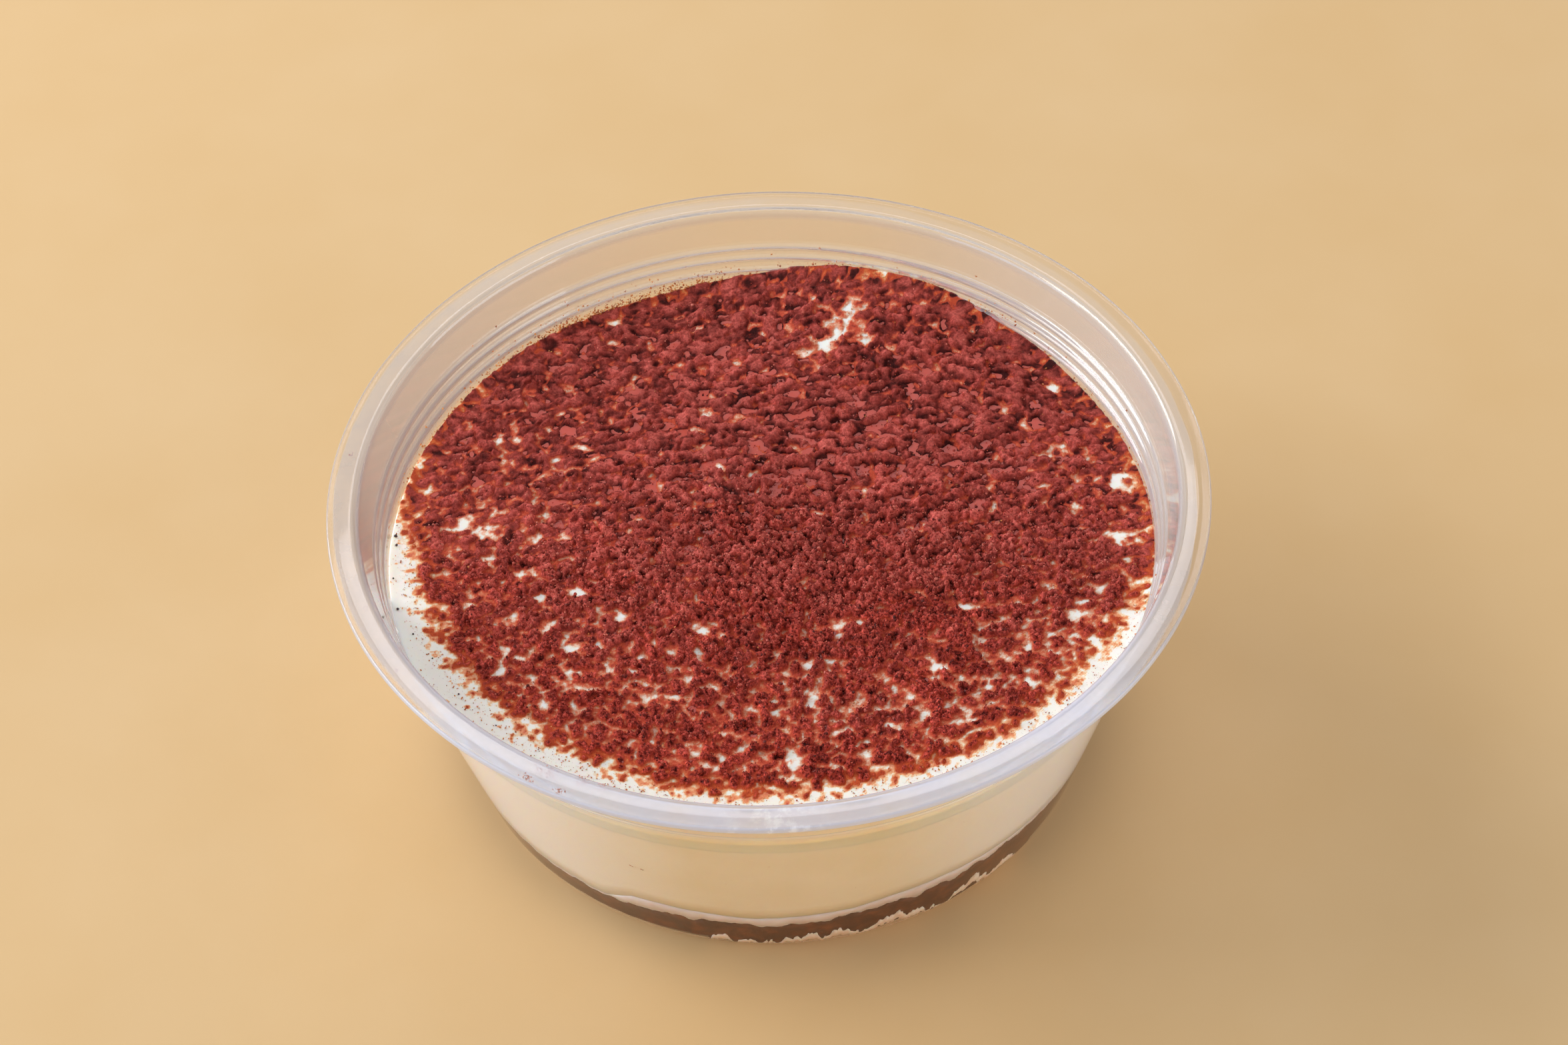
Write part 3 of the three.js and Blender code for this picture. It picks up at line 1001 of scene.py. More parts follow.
def one_grain(seed):
    """A grain with 8 faces, for what is too fine to show more."""
    fresh_start()
    bpy.ops.mesh.primitive_cone_add(
        vertices=4, radius1=0.5, radius2=0, depth=0.5, location=(0, 0, 0.25), end_fill_type="TRIFAN")
    grain = bpy.context.object
    bpy.ops.object.transform_apply(location=True, rotation=False, scale=False)
    for point in grain.data.vertices:
        point.select = point.co.length < 0.1
    bpy.ops.object.mode_set(mode="EDIT")
    bpy.ops.mesh.select_mode(type="VERT")
    bpy.ops.transform.translate(value=(0, 0, -0.5))
    bpy.ops.mesh.select_all(action="SELECT")
    bpy.ops.object.mode_set(mode="OBJECT")
    return roughened(0.16, seed)


print("a crumb has 20 faces, and a grain has 8")

# %% Copies strewn into one mesh


def random_turns(count, rng):
    """Rotation matrices that turn any way."""
    four = rng.normal(size=(count, 4))
    four /= np.linalg.norm(four, axis=1)[:, None]
    w, x, y, z = four.T
    rows = [
        [1 - 2 * (y * y + z * z), 2 * (x * y - z * w), 2 * (x * z + y * w)],
        [2 * (x * y + z * w), 1 - 2 * (x * x + z * z), 2 * (y * z - x * w)],
        [2 * (x * z - y * w), 2 * (y * z + x * w), 1 - 2 * (x * x + y * y)],
    ]
    return np.array(rows).transpose(2, 0, 1)


def strew(name, model, spots, sizes, flat, seed):
    """One mesh of copies at these places, with these sizes, pressed flat by a share."""
    rng = np.random.default_rng(seed)
    shape, faces = model(seed)
    turned = np.einsum("nij,vj->nvi", random_turns(len(spots), rng), shape)
    turned *= sizes[:, None, None] * np.array([1, 1, flat])
    points = (turned + spots[:, None, :]).reshape(-1, 3) * MM
    starts = np.arange(len(spots)) * len(shape)
    corners = (faces[None] + starts[:, None, None]).reshape(-1, faces.shape[1])
    mesh = bpy.data.meshes.new(name)
    mesh.from_pydata(points.tolist(), [], corners.tolist())
    crumbs = bpy.data.objects.new(name, mesh)
    bpy.context.scene.collection.objects.link(crumbs)
    tints = rng.random(len(spots)) - 0.25 * (dampness(spots[:, 0], spots[:, 1]) - 0.5)
    give_values(crumbs, "tint", np.repeat(tints, len(shape)))
    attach(crumbs, "root")
    report(crumbs)
    return crumbs


# %% [markdown]
# Where a crumb may lie is a matter of chance. Random places are drawn, and a function says
# how likely each is kept. The crumbs then rest on the crust or on the cream, sunk in a
# little as they are in real life.

# %% Random places on top
DRAWN_AT_ONCE = 60000


def spots_on_top(count, chance_of, seed):
    """Random places on the top, kept by the chance that a function gives each."""
    rng = np.random.default_rng(seed)
    kept_x, kept_y = np.empty(0), np.empty(0)
    while len(kept_x) < count:
        radius = wall_inside(CREAM_LEVEL) * np.sqrt(rng.random(DRAWN_AT_ONCE)) * 0.996
        azimuth = rng.uniform(-math.pi, math.pi, DRAWN_AT_ONCE)
        x, y = radius * np.cos(azimuth), radius * np.sin(azimuth)
        lucky = rng.random(DRAWN_AT_ONCE) < chance_of(x, y)
        kept_x, kept_y = np.append(kept_x, x[lucky]), np.append(kept_y, y[lucky])
    return kept_x[:count], kept_y[:count], rng


def resting(x, y, sizes, sunk):
    """Places for crumbs that rest on the crust or the cream, sunk by a share of their size."""
    surface = cream_top(x, y) + np.maximum(cocoa_height(x, y), 0)
    return np.stack([x, y, surface + (0.5 - sunk) * sizes], 1)


def front_share(x, y):
    """Loose crumbs lie mostly towards the front, and the carpet at the back is packed."""
    return 0.05 + 0.95 * step_between(24, -14, y + 0.12 * np.abs(x))


print("loose crumbs at the back: %.2f of those in front" % front_share(0.0, 40.0))

# %% Crumbs on the crust
CRUMBS = 5500


def chance_of_crumb(x, y):
    """Crumbs lie on thick crust, and keep off the wall."""
    off_wall = step_between(0.6, 2.5, wall_inside(CREAM_LEVEL) - np.hypot(x, y))
    return step_between(0.25, 0.8, crust_cover(x, y)) * front_share(x, y) * off_wall


x, y, rng = spots_on_top(CRUMBS, chance_of_crumb, 5)
sizes = 0.26 + 0.3 * rng.random(CRUMBS) ** 2
crumbs = strew("cocoa_crumbs", one_crumb, resting(x, y, sizes, 0.55), sizes, 0.85, 6)

# %% Grains on the crust
GRAINS = 24000


def chance_of_grain(x, y):
    """Grains lie on thin crust as well."""
    off_wall = step_between(0.4, 2, wall_inside(CREAM_LEVEL) - np.hypot(x, y))
    return step_between(0.05, 0.5, crust_cover(x, y)) * front_share(x, y) * off_wall


x, y, rng = spots_on_top(GRAINS, chance_of_grain, 7)
sizes = rng.uniform(0.15, 0.3, GRAINS)
fine_grains = strew("cocoa_grains", one_grain, resting(x, y, sizes, 0.45), sizes, 0.85, 8)

# %% [markdown]
# Round the outline the powder is so thin that each speck lies by itself on the cream. The
# specks are thick near the crust and in the gaps, and soon become rare.

# %% Specks on the bare cream
SPECKS = 4200


def chance_of_speck(x, y):
    """Specks are thick round the outline and in the gaps, and rare further out."""
    cover, inside = cocoa_cover(x, y), inside_outline(x, y)
    near = step_between(-6.5, -0.5, inside) ** 2
    gap = step_between(-0.5, 0.1, cover) * step_between(0.6, 0.4, cover)
    outside = step_between(1.5, -0.5, inside)
    return near * (0.12 * gap + 0.42 * outside * near) + 0.01


x, y, rng = spots_on_top(SPECKS, chance_of_speck, 9)
sizes = 0.09 + 0.34 * rng.random(SPECKS) ** 3
specks = strew("cocoa_specks", one_grain, resting(x, y, sizes, 0.3), sizes, 0.6, 10)

# %% [markdown]
# Some powder hit the wall and stuck above the cocoa, mostly at the back left. It could be
# painted on the plastic, but real specks catch the light, so they are grains too. The
# table says where they gather, and they thin out upwards.

# %% Specks on the wall above the cocoa
NEAR_WALL = 50.5  # radius at which the cream's height beside the wall is read
WALL_SMEARS = (  # azimuth in degrees, spread, how far above the cocoa, how many specks
    (121, 5, 0.5, 260),
    (112, 9, 0.7, 300),
    (104, 5, 0.5, 160),
    (130, 14, 1.0, 260),
    (95, 12, 0.8, 120),
    (155, 14, 0.9, 120),
    (35, 18, 0.7, 140),
    (8, 14, 0.8, 90),
    (70, 14, 0.4, 60),
)


def on_inner_wall(azimuth, height):
    """Places on the tub's inner face."""
    return at_polar(azimuth, wall_inside(height) - 0.03, height)


rng = np.random.default_rng(11)
azimuths, heights, sizes = [], [], []
for centre, spread, above, count in WALL_SMEARS:
    azimuth = np.radians(rng.normal(centre, spread, count))
    at_wall = cream_top(NEAR_WALL * np.cos(azimuth), NEAR_WALL * np.sin(azimuth))
    azimuths.append(azimuth)
    heights.append(at_wall + 0.3 + rng.exponential(above, count))
    sizes.append(0.12 + 0.38 * rng.random(count) ** 3)
azimuth, height, sizes = map(np.concatenate, (azimuths, heights, sizes))
wall_specks = strew("wall_specks", one_grain, on_inner_wall(azimuth, height), sizes, 1.0, 12)

# %% [markdown]
# A few specks sit in the cream's side, where they show through the wall. They are so few
# that each is placed one by one, and so are the dark crumbs round the cream's edge.

# %% Specks in the cream's side
SIDE_SPECKS = (  # azimuth in degrees, height, size
    (-114.3, 20.9, 0.5), (-113.7, 20.7, 0.44), (-113.2, 20.65, 0.4), (-112.5, 20.6, 0.36),
    (-112.0, 20.5, 0.4), (-111.4, 20.3, 0.22), (-84.7, 22.5, 0.3), (-74.9, 32.2, 0.3),
    (-92.2, 26.5, 0.2), (-68.0, 24.0, 0.18), (-62.5, 27.0, 0.22), (-99.0, 20.5, 0.18),
    (-58.0, 19.0, 0.2), (-120.5, 28.5, 0.26), (-79.0, 17.0, 0.16))


def columns(table):
    """The columns of a table as arrays."""
    return (np.array(column, dtype=float) for column in zip(*table))


degrees, height, sizes = columns(SIDE_SPECKS)
spots = at_polar(np.radians(degrees), wall_inside(height) + SINK + 0.02, height)
side_specks = strew("side_specks", one_grain, spots, sizes, 0.6, 17)

# %% Dark crumbs on the cream's edge
DARK_CRUMBS = (  # azimuth in degrees, radius, size
    (175.2, 50.9, 0.5), (177.0, 50.6, 0.42), (-169.5, 50.7, 0.45), (-176.0, 50.8, 0.3),
    (-164, 49.6, 0.3), (-158, 48.5, 0.26), (-149, 48.2, 0.3), (-140, 47.4, 0.24),
    (-131, 48.0, 0.3), (-122, 47.2, 0.26), (-112, 47.6, 0.3), (-101, 48.4, 0.22),
    (-88, 47.7, 0.26), (-74, 47.2, 0.8), (-66, 48.3, 0.26))
degrees, radius, sizes = columns(DARK_CRUMBS)
x, y = radius * np.cos(np.radians(degrees)), radius * np.sin(np.radians(degrees))
dark_crumbs = strew("dark_crumbs", one_crumb, resting(x, y, sizes, 0.35), sizes, 0.8, 13)

# %% [markdown]
# Fingers and the sieve leave pinkish smudges on the rim. Each is a small cloud of flat
# grains round one place, which looks softer than a painted spot and stays in the mesh.

# %% Smudges on the rim
RIM_SMUDGES = (  # azimuth in degrees, radius, spread, how many
    (-121, 55.7, 0.45, 60), (-116, 55.2, 0.3, 26), (-113.2, 55.1, 0.25, 22),
    (-122.6, 57.7, 0.25, 18), (-118, 57.8, 0.3, 20), (-148, 56.6, 0.15, 5),
    (171, 56.2, 0.15, 5), (-160, 55.8, 0.1, 4))
LONGER = 1.6  # a smudge is longer round the rim than across it
SMUDGED_RADIUS = 56

rng = np.random.default_rng(15)
azimuths, radii = [], []
for centre, middle, spread, count in RIM_SMUDGES:
    azimuths.append(np.radians(centre) + rng.normal(0, spread * LONGER / SMUDGED_RADIUS, count))
    radii.append(middle + rng.normal(0, spread, count))
azimuth, radius = np.concatenate(azimuths), np.concatenate(radii)
sizes = rng.uniform(0.14, 0.4, len(radius))
spots = at_polar(azimuth, radius, np.full_like(radius, RIM_TOP - 0.14))
smudges = strew("rim_smudges", one_grain, spots, sizes, 0.35, 16)

# %% [markdown]
# ## Floor
# A wide plain floor carries the tub's shadow. It could be a curved backdrop, but from so
# high up only the floor is seen. It belongs to the stage and not to the object.

# %% Floor
fresh_start()
bpy.ops.mesh.primitive_plane_add(size=6)
floor = named("floor")
bpy.ops.object.mode_set(mode="EDIT")
bpy.ops.mesh.subdivide(number_cuts=3)
bpy.ops.object.mode_set(mode="OBJECT")
print("the floor is %.0f m wide" % floor.dimensions.x)

# %% [markdown]
# ## Finishes
# Every finish is a Principled shader with some nodes in front of it. They could be wired
# one by one, but that is long and hard to read, so two small classes add the common ones.
# Noise reads Object coordinates, so a pattern stays on its piece, and the pieces carry
# numbers of their own, such as how much cocoa lies at a point.

# %% Display colours


def tone(code):
    """A display colour such as 0xE9D9B8 as the linear colour that shaders use."""
    parts = [((code >> shift) & 255) / 255 for shift in (16, 8, 0)]
    return [c / 12.92 if c <= 0.04045 else ((c + 0.055) / 1.055) ** 2.4 for c in parts] + [1.0]


print("cream white as a linear colour:", [round(part, 2) for part in tone(0xF9F1E5)])

# %% Short ways to add nodes


class Nodes:
    """A node tree and short ways to add nodes to it."""

    def __init__(self, tree):
        self.tree = tree

    def node(self, kind, **values):
        """Add a node and set its properties."""
        made = self.tree.nodes.new("ShaderNode" + kind)
        for name, value in values.items():
            setattr(made, name, value)
        return made

    def join(self, source, target):
        """Link an output to an input."""
        self.tree.links.new(source, target)

    def maths(self, operation, first, second=0.5, third=None):
        """A sum or the like, whose values are numbers or outputs of other nodes."""
        made = self.node("Math", operation=operation)
        for socket, value in zip(made.inputs, (first, second, third)):
            if value is None:
                continue
            if isinstance(value, (int, float)):
                socket.default_value = value
            else:
                self.join(value, socket)
        return made.outputs[0]

    def times(self, first, second):
        """One value times the other."""
        return self.maths("MULTIPLY", first, second)

    def axes(self, vector):
        """The x, y and z of a vector."""
        made = self.node("SeparateXYZ")
        self.join(vector, made.inputs[0])
        return made.outputs

    def range(self, value, low, high, to_low=0.0, to_high=1.0):
        """A value between low and high, turned into one between two others."""
        made = self.node("MapRange")
        for socket, number in zip(list(made.inputs)[1:5], (low, high, to_low, to_high)):
            socket.default_value = number
        self.join(value, made.inputs["Value"])
        return made.outputs["Result"]

    def zone(self, place, low, high, to_low=0.0, to_high=1.0):
        """The same for a place that is given in millimetres."""
        return self.range(place, low * MM, high * MM, to_low, to_high)

    def mix(self, share, first, second, blend="MIX"):
        """Two colours mixed: each a linked colour, a colour code or a linear colour."""
        made = self.node("Mix", data_type="RGBA", blend_type=blend)
        for socket, value in zip((made.inputs[0], made.inputs[6], made.inputs[7]), (share, first, second)):
            if isinstance(value, tuple) or socket.type == "VALUE" and isinstance(value, (int, float)):
                socket.default_value = value
            elif isinstance(value, int):
                socket.default_value = tone(value)
            else:
                self.join(value, socket)
        return made.outputs[2]


print("nodes are wired with", ", ".join(name for name in vars(Nodes) if name[0] != "_"))

# %% A finish with its own shader


class Finish(Nodes):
    """A material, what its pattern reads, and short ways to set its shader."""

    def __init__(self, name):
        self.material = bpy.data.materials.new(name)
        self.material.use_nodes = True
        super().__init__(self.material.node_tree)
        self.shader = self.tree.nodes["Principled BSDF"]
        self.output = self.tree.nodes["Material Output"]
        self.place = self.node("TexCoord").outputs["Object"]

    def noise(self, size, detail=3.0, roughness=0.55):
        """Soft random values from 0 to 1, in blots of this many millimetres."""
        made = self.node("TexNoise")
        made.inputs["Scale"].default_value = 1 / (size * MM)
        made.inputs["Detail"].default_value = detail
        made.inputs["Roughness"].default_value = roughness
        self.join(self.place, made.inputs["Vector"])
        return made.outputs["Fac"]

    def ramp(self, value, stops):
        """Colours along a value: stops are (position, colour code)."""
        made = self.node("ValToRGB")
        line = made.color_ramp.elements
        while len(line) < len(stops):
            line.new(0.5)
        for element, (position, code) in zip(line, stops):
            element.position = position
            element.color = tone(code)
        self.join(value, made.inputs["Fac"])
        return made.outputs["Color"]

    def value_of(self, name):
        """The number that a piece's points carry under this name."""
        return self.node("Attribute", attribute_name=name).outputs["Fac"]

    def colour(self, source):
        """Colour the shader."""
        self.join(source, self.shader.inputs["Base Color"])

    def bump(self, height, depth, strength=1.0):
        """Low relief, this many millimetres deep."""
        made = self.node("Bump")
        made.inputs["Strength"].default_value = strength
        made.inputs["Distance"].default_value = depth * MM
        self.join(height, made.inputs["Height"])
        self.join(made.outputs["Normal"], self.shader.inputs["Normal"])

    def set(self, **values):
        """Set the shader's own sockets."""
        for name, value in values.items():
            self.shader.inputs[name.replace("_", " ")].default_value = value

    def give(self, *pieces):
        """Put the finish on these pieces."""
        for piece in pieces:
            piece.data.materials.clear()
            piece.data.materials.append(self.material)
        names = ", ".join(piece.name for piece in pieces)
        print("%s, %d nodes, on %s" % (self.material.name, len(self.tree.nodes), names))


def blotched(name, size, detail, stops, roughness):
    """A finish whose colour changes in soft blots."""
    finish = Finish(name)
    finish.colour(finish.ramp(finish.noise(size, detail), stops))
    finish.set(Roughness=roughness)
    return finish


# %% [markdown]
# ## Stained cream
# Cream beside cocoa takes its colour from it: salmon in the gaps, and more orange near the
# outline, where the powder lay thin. One colour ramp along the cover gives each, with some
# noise so that the stain creeps. It is a function, because the crust's material needs the
# same stain in its gaps as the cream's.

# %% The stain's colour
SALMON = (
    (0.0, 0xF9F1E5), (0.14, 0xF9DAC2), (0.28, 0xF2AE8C), (0.44, 0xE47A56), (0.66, 0xD65A3E),
    (1.0, 0xC44630))
ORANGE = (
    (0.0, 0xF9F1E5), (0.16, 0xF8D2A6), (0.3, 0xEE9E64), (0.48, 0xE2743C), (0.72, 0xD45A30),
    (1.0, 0xC04A28))


def stain_colour(finish):
    """The colour of cream that is stained by cocoa, from clean to almost cocoa."""
    cover = finish.maths("MULTIPLY_ADD", finish.value_of("grain"), 0.2, finish.value_of("cover"))
    cover = finish.maths("MAXIMUM", cover, finish.maths("MULTIPLY_ADD", cover, 0.4, 0.18))
    fuzz = finish.maths("SUBTRACT", finish.noise(0.45, 3.0, 0.65), 0.5)
    wet = finish.range(finish.maths("MULTIPLY_ADD", fuzz, 0.5, cover), 0.0, 0.62)
    salmon, orange = finish.ramp(wet, SALMON), finish.ramp(wet, ORANGE)
    near_outline = finish.range(finish.value_of("inside"), 2.0, 5.0, 1.0, 0.0)
    return finish.mix(near_outline, salmon, orange)


print("the stain has %d and %d tones" % (len(SALMON), len(ORANGE)))

# %% [markdown]
# ## Cocoa
# The crust's colour runs from its thin edge to its thick middle, once for dry cocoa behind
# and once for damp cocoa in front. It then gets random patches some millimetres wide and
# fine motes, and painted shade: dark pits between the grains and light tops, where light and
# shade would fall on them. A plain noise could vary it too, but painted shade that follows
# the modelled grains makes them read as deep.

# %% Colour of the crust
DRY_COCOA = ((0.0, 0xBE5038), (0.15, 0xA43E32), (0.4, 0x94362D), (1.0, 0xA04238))
WET_COCOA = ((0.0, 0xD05438), (0.12, 0xB6402E), (0.3, 0x98342A), (0.6, 0x8E2C22), (1.0, 0xA43E30))

cocoa_finish = Finish("damp cocoa")
crust = cocoa_finish.value_of("crust")
along = cocoa_finish.range(
    cocoa_finish.maths("MULTIPLY_ADD", cocoa_finish.noise(0.45), 0.5, crust), 0.2, 1.4)
damp = cocoa_finish.value_of("damp")
cocoa_colour = cocoa_finish.mix(
    damp, cocoa_finish.ramp(along, DRY_COCOA), cocoa_finish.ramp(along, WET_COCOA))
print("dry and damp cocoa mixed with %d nodes" % len(cocoa_finish.tree.nodes))

# %% Light and dark places in the crust: random patches and motes, and painted shade
patch = cocoa_finish.range(cocoa_finish.noise(4.5, 2.0), 0.35, 0.65, 0.74, 1.24)
# Painted shade: darker in the pits between the modelled grains and lighter on their tops.
painted_pit_shade = cocoa_finish.range(cocoa_finish.value_of("grain"), -0.45, 0.35, 0.2, 1.6)
motes = cocoa_finish.range(cocoa_finish.noise(0.36, 2.0), 0.36, 0.62, -0.45, 0.45)
in_front = cocoa_finish.range(damp, 0.0, 1.0, 0.6, 1.3)
motes = cocoa_finish.maths("MULTIPLY_ADD", motes, in_front, 1.0)
shade = cocoa_finish.times(cocoa_finish.times(patch, painted_pit_shade), motes)
_, along_depth, _ = cocoa_finish.axes(cocoa_finish.place)
# Lighter towards the front and darker towards the back.
shade = cocoa_finish.times(shade, cocoa_finish.zone(along_depth, 2, 32, 1.1, 0.92))
grainy = cocoa_finish.range(crust, 0.02, 0.26)
shade = cocoa_finish.maths("MULTIPLY_ADD", cocoa_finish.maths("SUBTRACT", shade, 1.0), grainy, 1.0)
print("shaded with %d nodes" % len(cocoa_finish.tree.nodes))

# %% The crust's finish
# Where the shade darkens the cocoa, painted pit shade included, it also turns redder.
DARKER_GREEN, DARKER_BLUE = 1.3, 1.35  # powers: what is dark in cocoa is also redder

grey = cocoa_finish.node("CombineColor")
for socket, power in zip(grey.inputs, (1.0, DARKER_GREEN, DARKER_BLUE)):
    cocoa_finish.join(cocoa_finish.maths("POWER", shade, power), socket)
shaded = cocoa_finish.mix(1.0, cocoa_colour, grey.outputs[0], "MULTIPLY")
on_crust = cocoa_finish.range(crust, -0.04, 0.06)
cocoa_finish.colour(cocoa_finish.mix(on_crust, stain_colour(cocoa_finish), shaded))
cocoa_finish.bump(cocoa_finish.noise(0.36, 4.0, 0.7), 0.36)
cocoa_finish.set(Roughness=0.45, Specular_IOR_Level=0.1)
cocoa_finish.give(cocoa_back, cocoa_front)

# %% [markdown]
# Loose crumbs and grains differ from each other more than within themselves. Each carries
# a random tint, and a ramp turns it into a brown between almost black and pale.

# %% Crumbs and grains
CRUMB_TONES = ((0.05, 0x48120B), (0.28, 0x6C1C12), (0.5, 0x942C20), (0.7, 0xAE3E2E), (0.95, 0xD07462))
GRAIN_TONES = ((0.05, 0x54140C), (0.3, 0x802016), (0.5, 0xA23424), (0.7, 0xBC4834), (0.95, 0xDC8068))


def tinted(name, blot, blotchiness, brightest, tones):
    """A finish whose ramp reads each crumb's own tint, with soft blots on it."""
    finish = Finish(name)
    noise = finish.noise(blot, 1.0)
    tint = finish.maths("MULTIPLY_ADD", noise, blotchiness, finish.value_of("tint"))
    finish.colour(finish.ramp(finish.range(tint, 0.0, brightest), tones))
    return finish


crumb_finish = tinted("cocoa crumbs", 0.5, 0.4, 1.4, CRUMB_TONES)
crumb_finish.bump(crumb_finish.noise(0.2, 3.0, 0.6), 0.1)
crumb_finish.set(Roughness=0.4, Specular_IOR_Level=0.22)
crumb_finish.give(crumbs)

grain_finish = tinted("fine cocoa", 0.7, 0.3, 1.3, GRAIN_TONES)
grain_finish.set(Roughness=0.5, Specular_IOR_Level=0.2)
grain_finish.give(fine_grains)

# %% Specks, dark crumbs and smudges
SPECK_TONES = ((0.35, 0x9C5228), (0.5, 0xC87438), (0.65, 0xDA9048))
DARK_TONES = ((0.35, 0x2A1A18), (0.65, 0x4A2A22))
SMUDGE_TONES = ((0.35, 0xB07868), (0.65, 0xCDA496))

blotched("specks of cocoa", 0.8, 1.0, SPECK_TONES, 0.55).give(specks, wall_specks, side_specks)
blotched("dark crumbs", 0.4, 1.0, DARK_TONES, 0.5).give(dark_crumbs)
blotched("smudges of cocoa", 0.5, 1.0, SMUDGE_TONES, 0.5).give(smudges)

# %% [markdown]
# ## Cream
# Cream isn't opaque: light goes in, scatters and comes out a little further on, which
# takes the hardness from every shadow. Subsurface scattering does that. Seen through the
# wall the cream is yellower than on top, and towards the sides it is painted paler: painted
# light on the sides.

# %% The cream's side and its softness
SCATTER_DEPTH = 1.2


def side_colour_and_painted_light(finish):
    """Height, how far aside a place is, and the cream's colour there behind the wall, painted paler towards
    the sides as painted light.
    """
    across, _, height = finish.axes(finish.place)
    aside = finish.zone(finish.maths("ABSOLUTE", across), 12, 38)
    yellow = finish.ramp(finish.noise(14.0, 3.0), ((0.35, 0xE9D5B0), (0.65, 0xEEDCBC)))
    # Paler towards the sides: painted light.
    return height, aside, finish.mix(aside, yellow, 0xF6F2EE)


def creamy(finish):
    """The soft surface of whipped cream."""
    finish.bump(finish.noise(1.5, 3.0), 0.12, 0.5)
    finish.set(Roughness=0.36, Subsurface_Weight=0.6, Subsurface_Radius=(1.0, 0.65, 0.4),
               Subsurface_Scale=SCATTER_DEPTH * MM)


print("red light goes %.1f mm into the cream" % SCATTER_DEPTH)

# %% Mascarpone
cream_finish = Finish("mascarpone cream")
height, _, side_tone_and_painted_light = side_colour_and_painted_light(cream_finish)
side = cream_finish.zone(height, CREAM_LEVEL - 2.2, CREAM_LEVEL - 1.4, 1.0, 0.0)
cream_finish.colour(cream_finish.mix(side, stain_colour(cream_finish), side_tone_and_painted_light))
creamy(cream_finish)
cream_finish.give(mascarpone)

# %% The smear, with painted shade under the rim: darker and yellower high up in the middle
smear_finish = Finish("smeared cream")
height, aside, side_tone_and_painted_light = side_colour_and_painted_light(smear_finish)
middle = smear_finish.range(aside, 0.0, 0.5, 1.0, 0.0)
# Painted shade under the rim: darker and yellower high up in the middle.
painted_rim_shade = smear_finish.times(smear_finish.zone(height, 30, 43), middle)
smear_finish.colour(smear_finish.mix(painted_rim_shade, side_tone_and_painted_light, 0xDABD92))
creamy(smear_finish)
smear_finish.give(smear)

# %% [markdown]
# The lower layers are seen only through the wall. Soft blots are enough for the creams,
# and the sponge has a rough surface that swallows the light.

# %% The lower layers
grey_finish = blotched("soaked cream", 3.0, 3.0, ((0.3, 0xDAC2B4), (0.7, 0xE8D6CC)), 0.45)
grey_finish.set(Subsurface_Weight=0.4, Subsurface_Scale=1.0 * MM)
grey_finish.give(soaked_cream)

pale_finish = blotched("bottom cream", 2.0, 3.0, ((0.3, 0xE6BE9C), (0.7, 0xF2D8C0)), 0.45)
pale_finish.set(Subsurface_Weight=0.4, Subsurface_Scale=1.0 * MM)
pale_finish.give(bottom_cream)

SPONGE_TONES = ((0.3, 0x461602), (0.5, 0x562002), (0.7, 0x78360E))
sponge_finish = blotched("soaked sponge", 2.2, 4.0, SPONGE_TONES, 0.5)
sponge_finish.bump(sponge_finish.noise(1.0, 4.0), 0.2)
sponge_finish.set(Specular_IOR_Level=0.2)
sponge_finish.give(sponge)

# %% [markdown]
# ## Clear plastic
# The tub bends and mirrors light as a thin clear sheet does, and scatters a little of
# it. A glass shader alone would be too clean, and real fog inside so thin a wall is slow
# and noisy. So part of the light is scattered at the surface, as by pale plastic. Where
# the filling wets the wall there is none, and the rim has a broad milky band. Whitish lines
# of haze along the beads are painted highlights, and the band and the wall's haze are partly
# painted reflection. The first two cells say how hazy each place is.

# %% Haze of the bare wall, and painted highlights along the beads
plastic = Finish("clear plastic")
across, along_depth, height = plastic.axes(plastic.place)
flat_square = plastic.maths(
    "ADD", plastic.times(across, across), plastic.times(along_depth, along_depth))
out = plastic.maths("SQRT", flat_square)
above = plastic.zone(height, CREAM_LEVEL + 0.4, CREAM_LEVEL + 1.8)
off_rim = plastic.zone(out, MOUTH_RADIUS + 0.4, MOUTH_RADIUS + 0.9, 1.0, 0.12)
wall = plastic.times(above, off_rim)
# Whitish haze along each bead: painted highlights.
painted_bead_highlights = 0.0
for bead_depth in BEAD_DEPTHS:
    off = plastic.maths("ABSOLUTE", plastic.maths("SUBTRACT", height, (RIM_TOP - bead_depth) * MM))
    painted_bead_highlights = plastic.maths("ADD", painted_bead_highlights, plastic.zone(off, 0.1, 0.5, 2.2, 0.0))
wall = plastic.maths("MULTIPLY_ADD", wall, painted_bead_highlights, wall)
wall_haze_and_painted_light = plastic.times(wall, plastic.value_of("cloudy_and_painted_reflection"))
print("haze of the wall: %d nodes" % len(plastic.tree.nodes))

# %% Haze of the rim
haze_and_painted_reflection = plastic.value_of("haze_and_painted_reflection")
# The milky band: haze, and painted reflection of the light behind the tub.
band = plastic.times(
    plastic.zone(out, MOUTH_RADIUS - 0.1, MOUTH_RADIUS + 0.4),
    plastic.zone(plastic.maths("SUBTRACT", plastic.value_of("band"), out), -0.05, 0.12))
patchy = plastic.range(plastic.noise(5.0, 3.0), 0.3, 0.7, 0.75, 1.25)
edge_line = plastic.times(
    plastic.zone(out, RIM_RADIUS - 0.35, RIM_RADIUS - 0.1),
    plastic.range(haze_and_painted_reflection, 0.2, 0.38, 0.35, 1.6))
mouth_line = plastic.times(
    plastic.zone(out, MOUTH_RADIUS + 0.1, MOUTH_RADIUS + 0.25, 0.0, 0.25),
    plastic.zone(out, MOUTH_RADIUS + 0.4, MOUTH_RADIUS + 0.55, 1.0, 0.0))
drawn_lines = plastic.maths("MAXIMUM", edge_line, mouth_line)
frosty = plastic.times(plastic.range(plastic.noise(1.8, 4.0, 0.65), 0.48, 0.6), plastic.value_of("frost"))
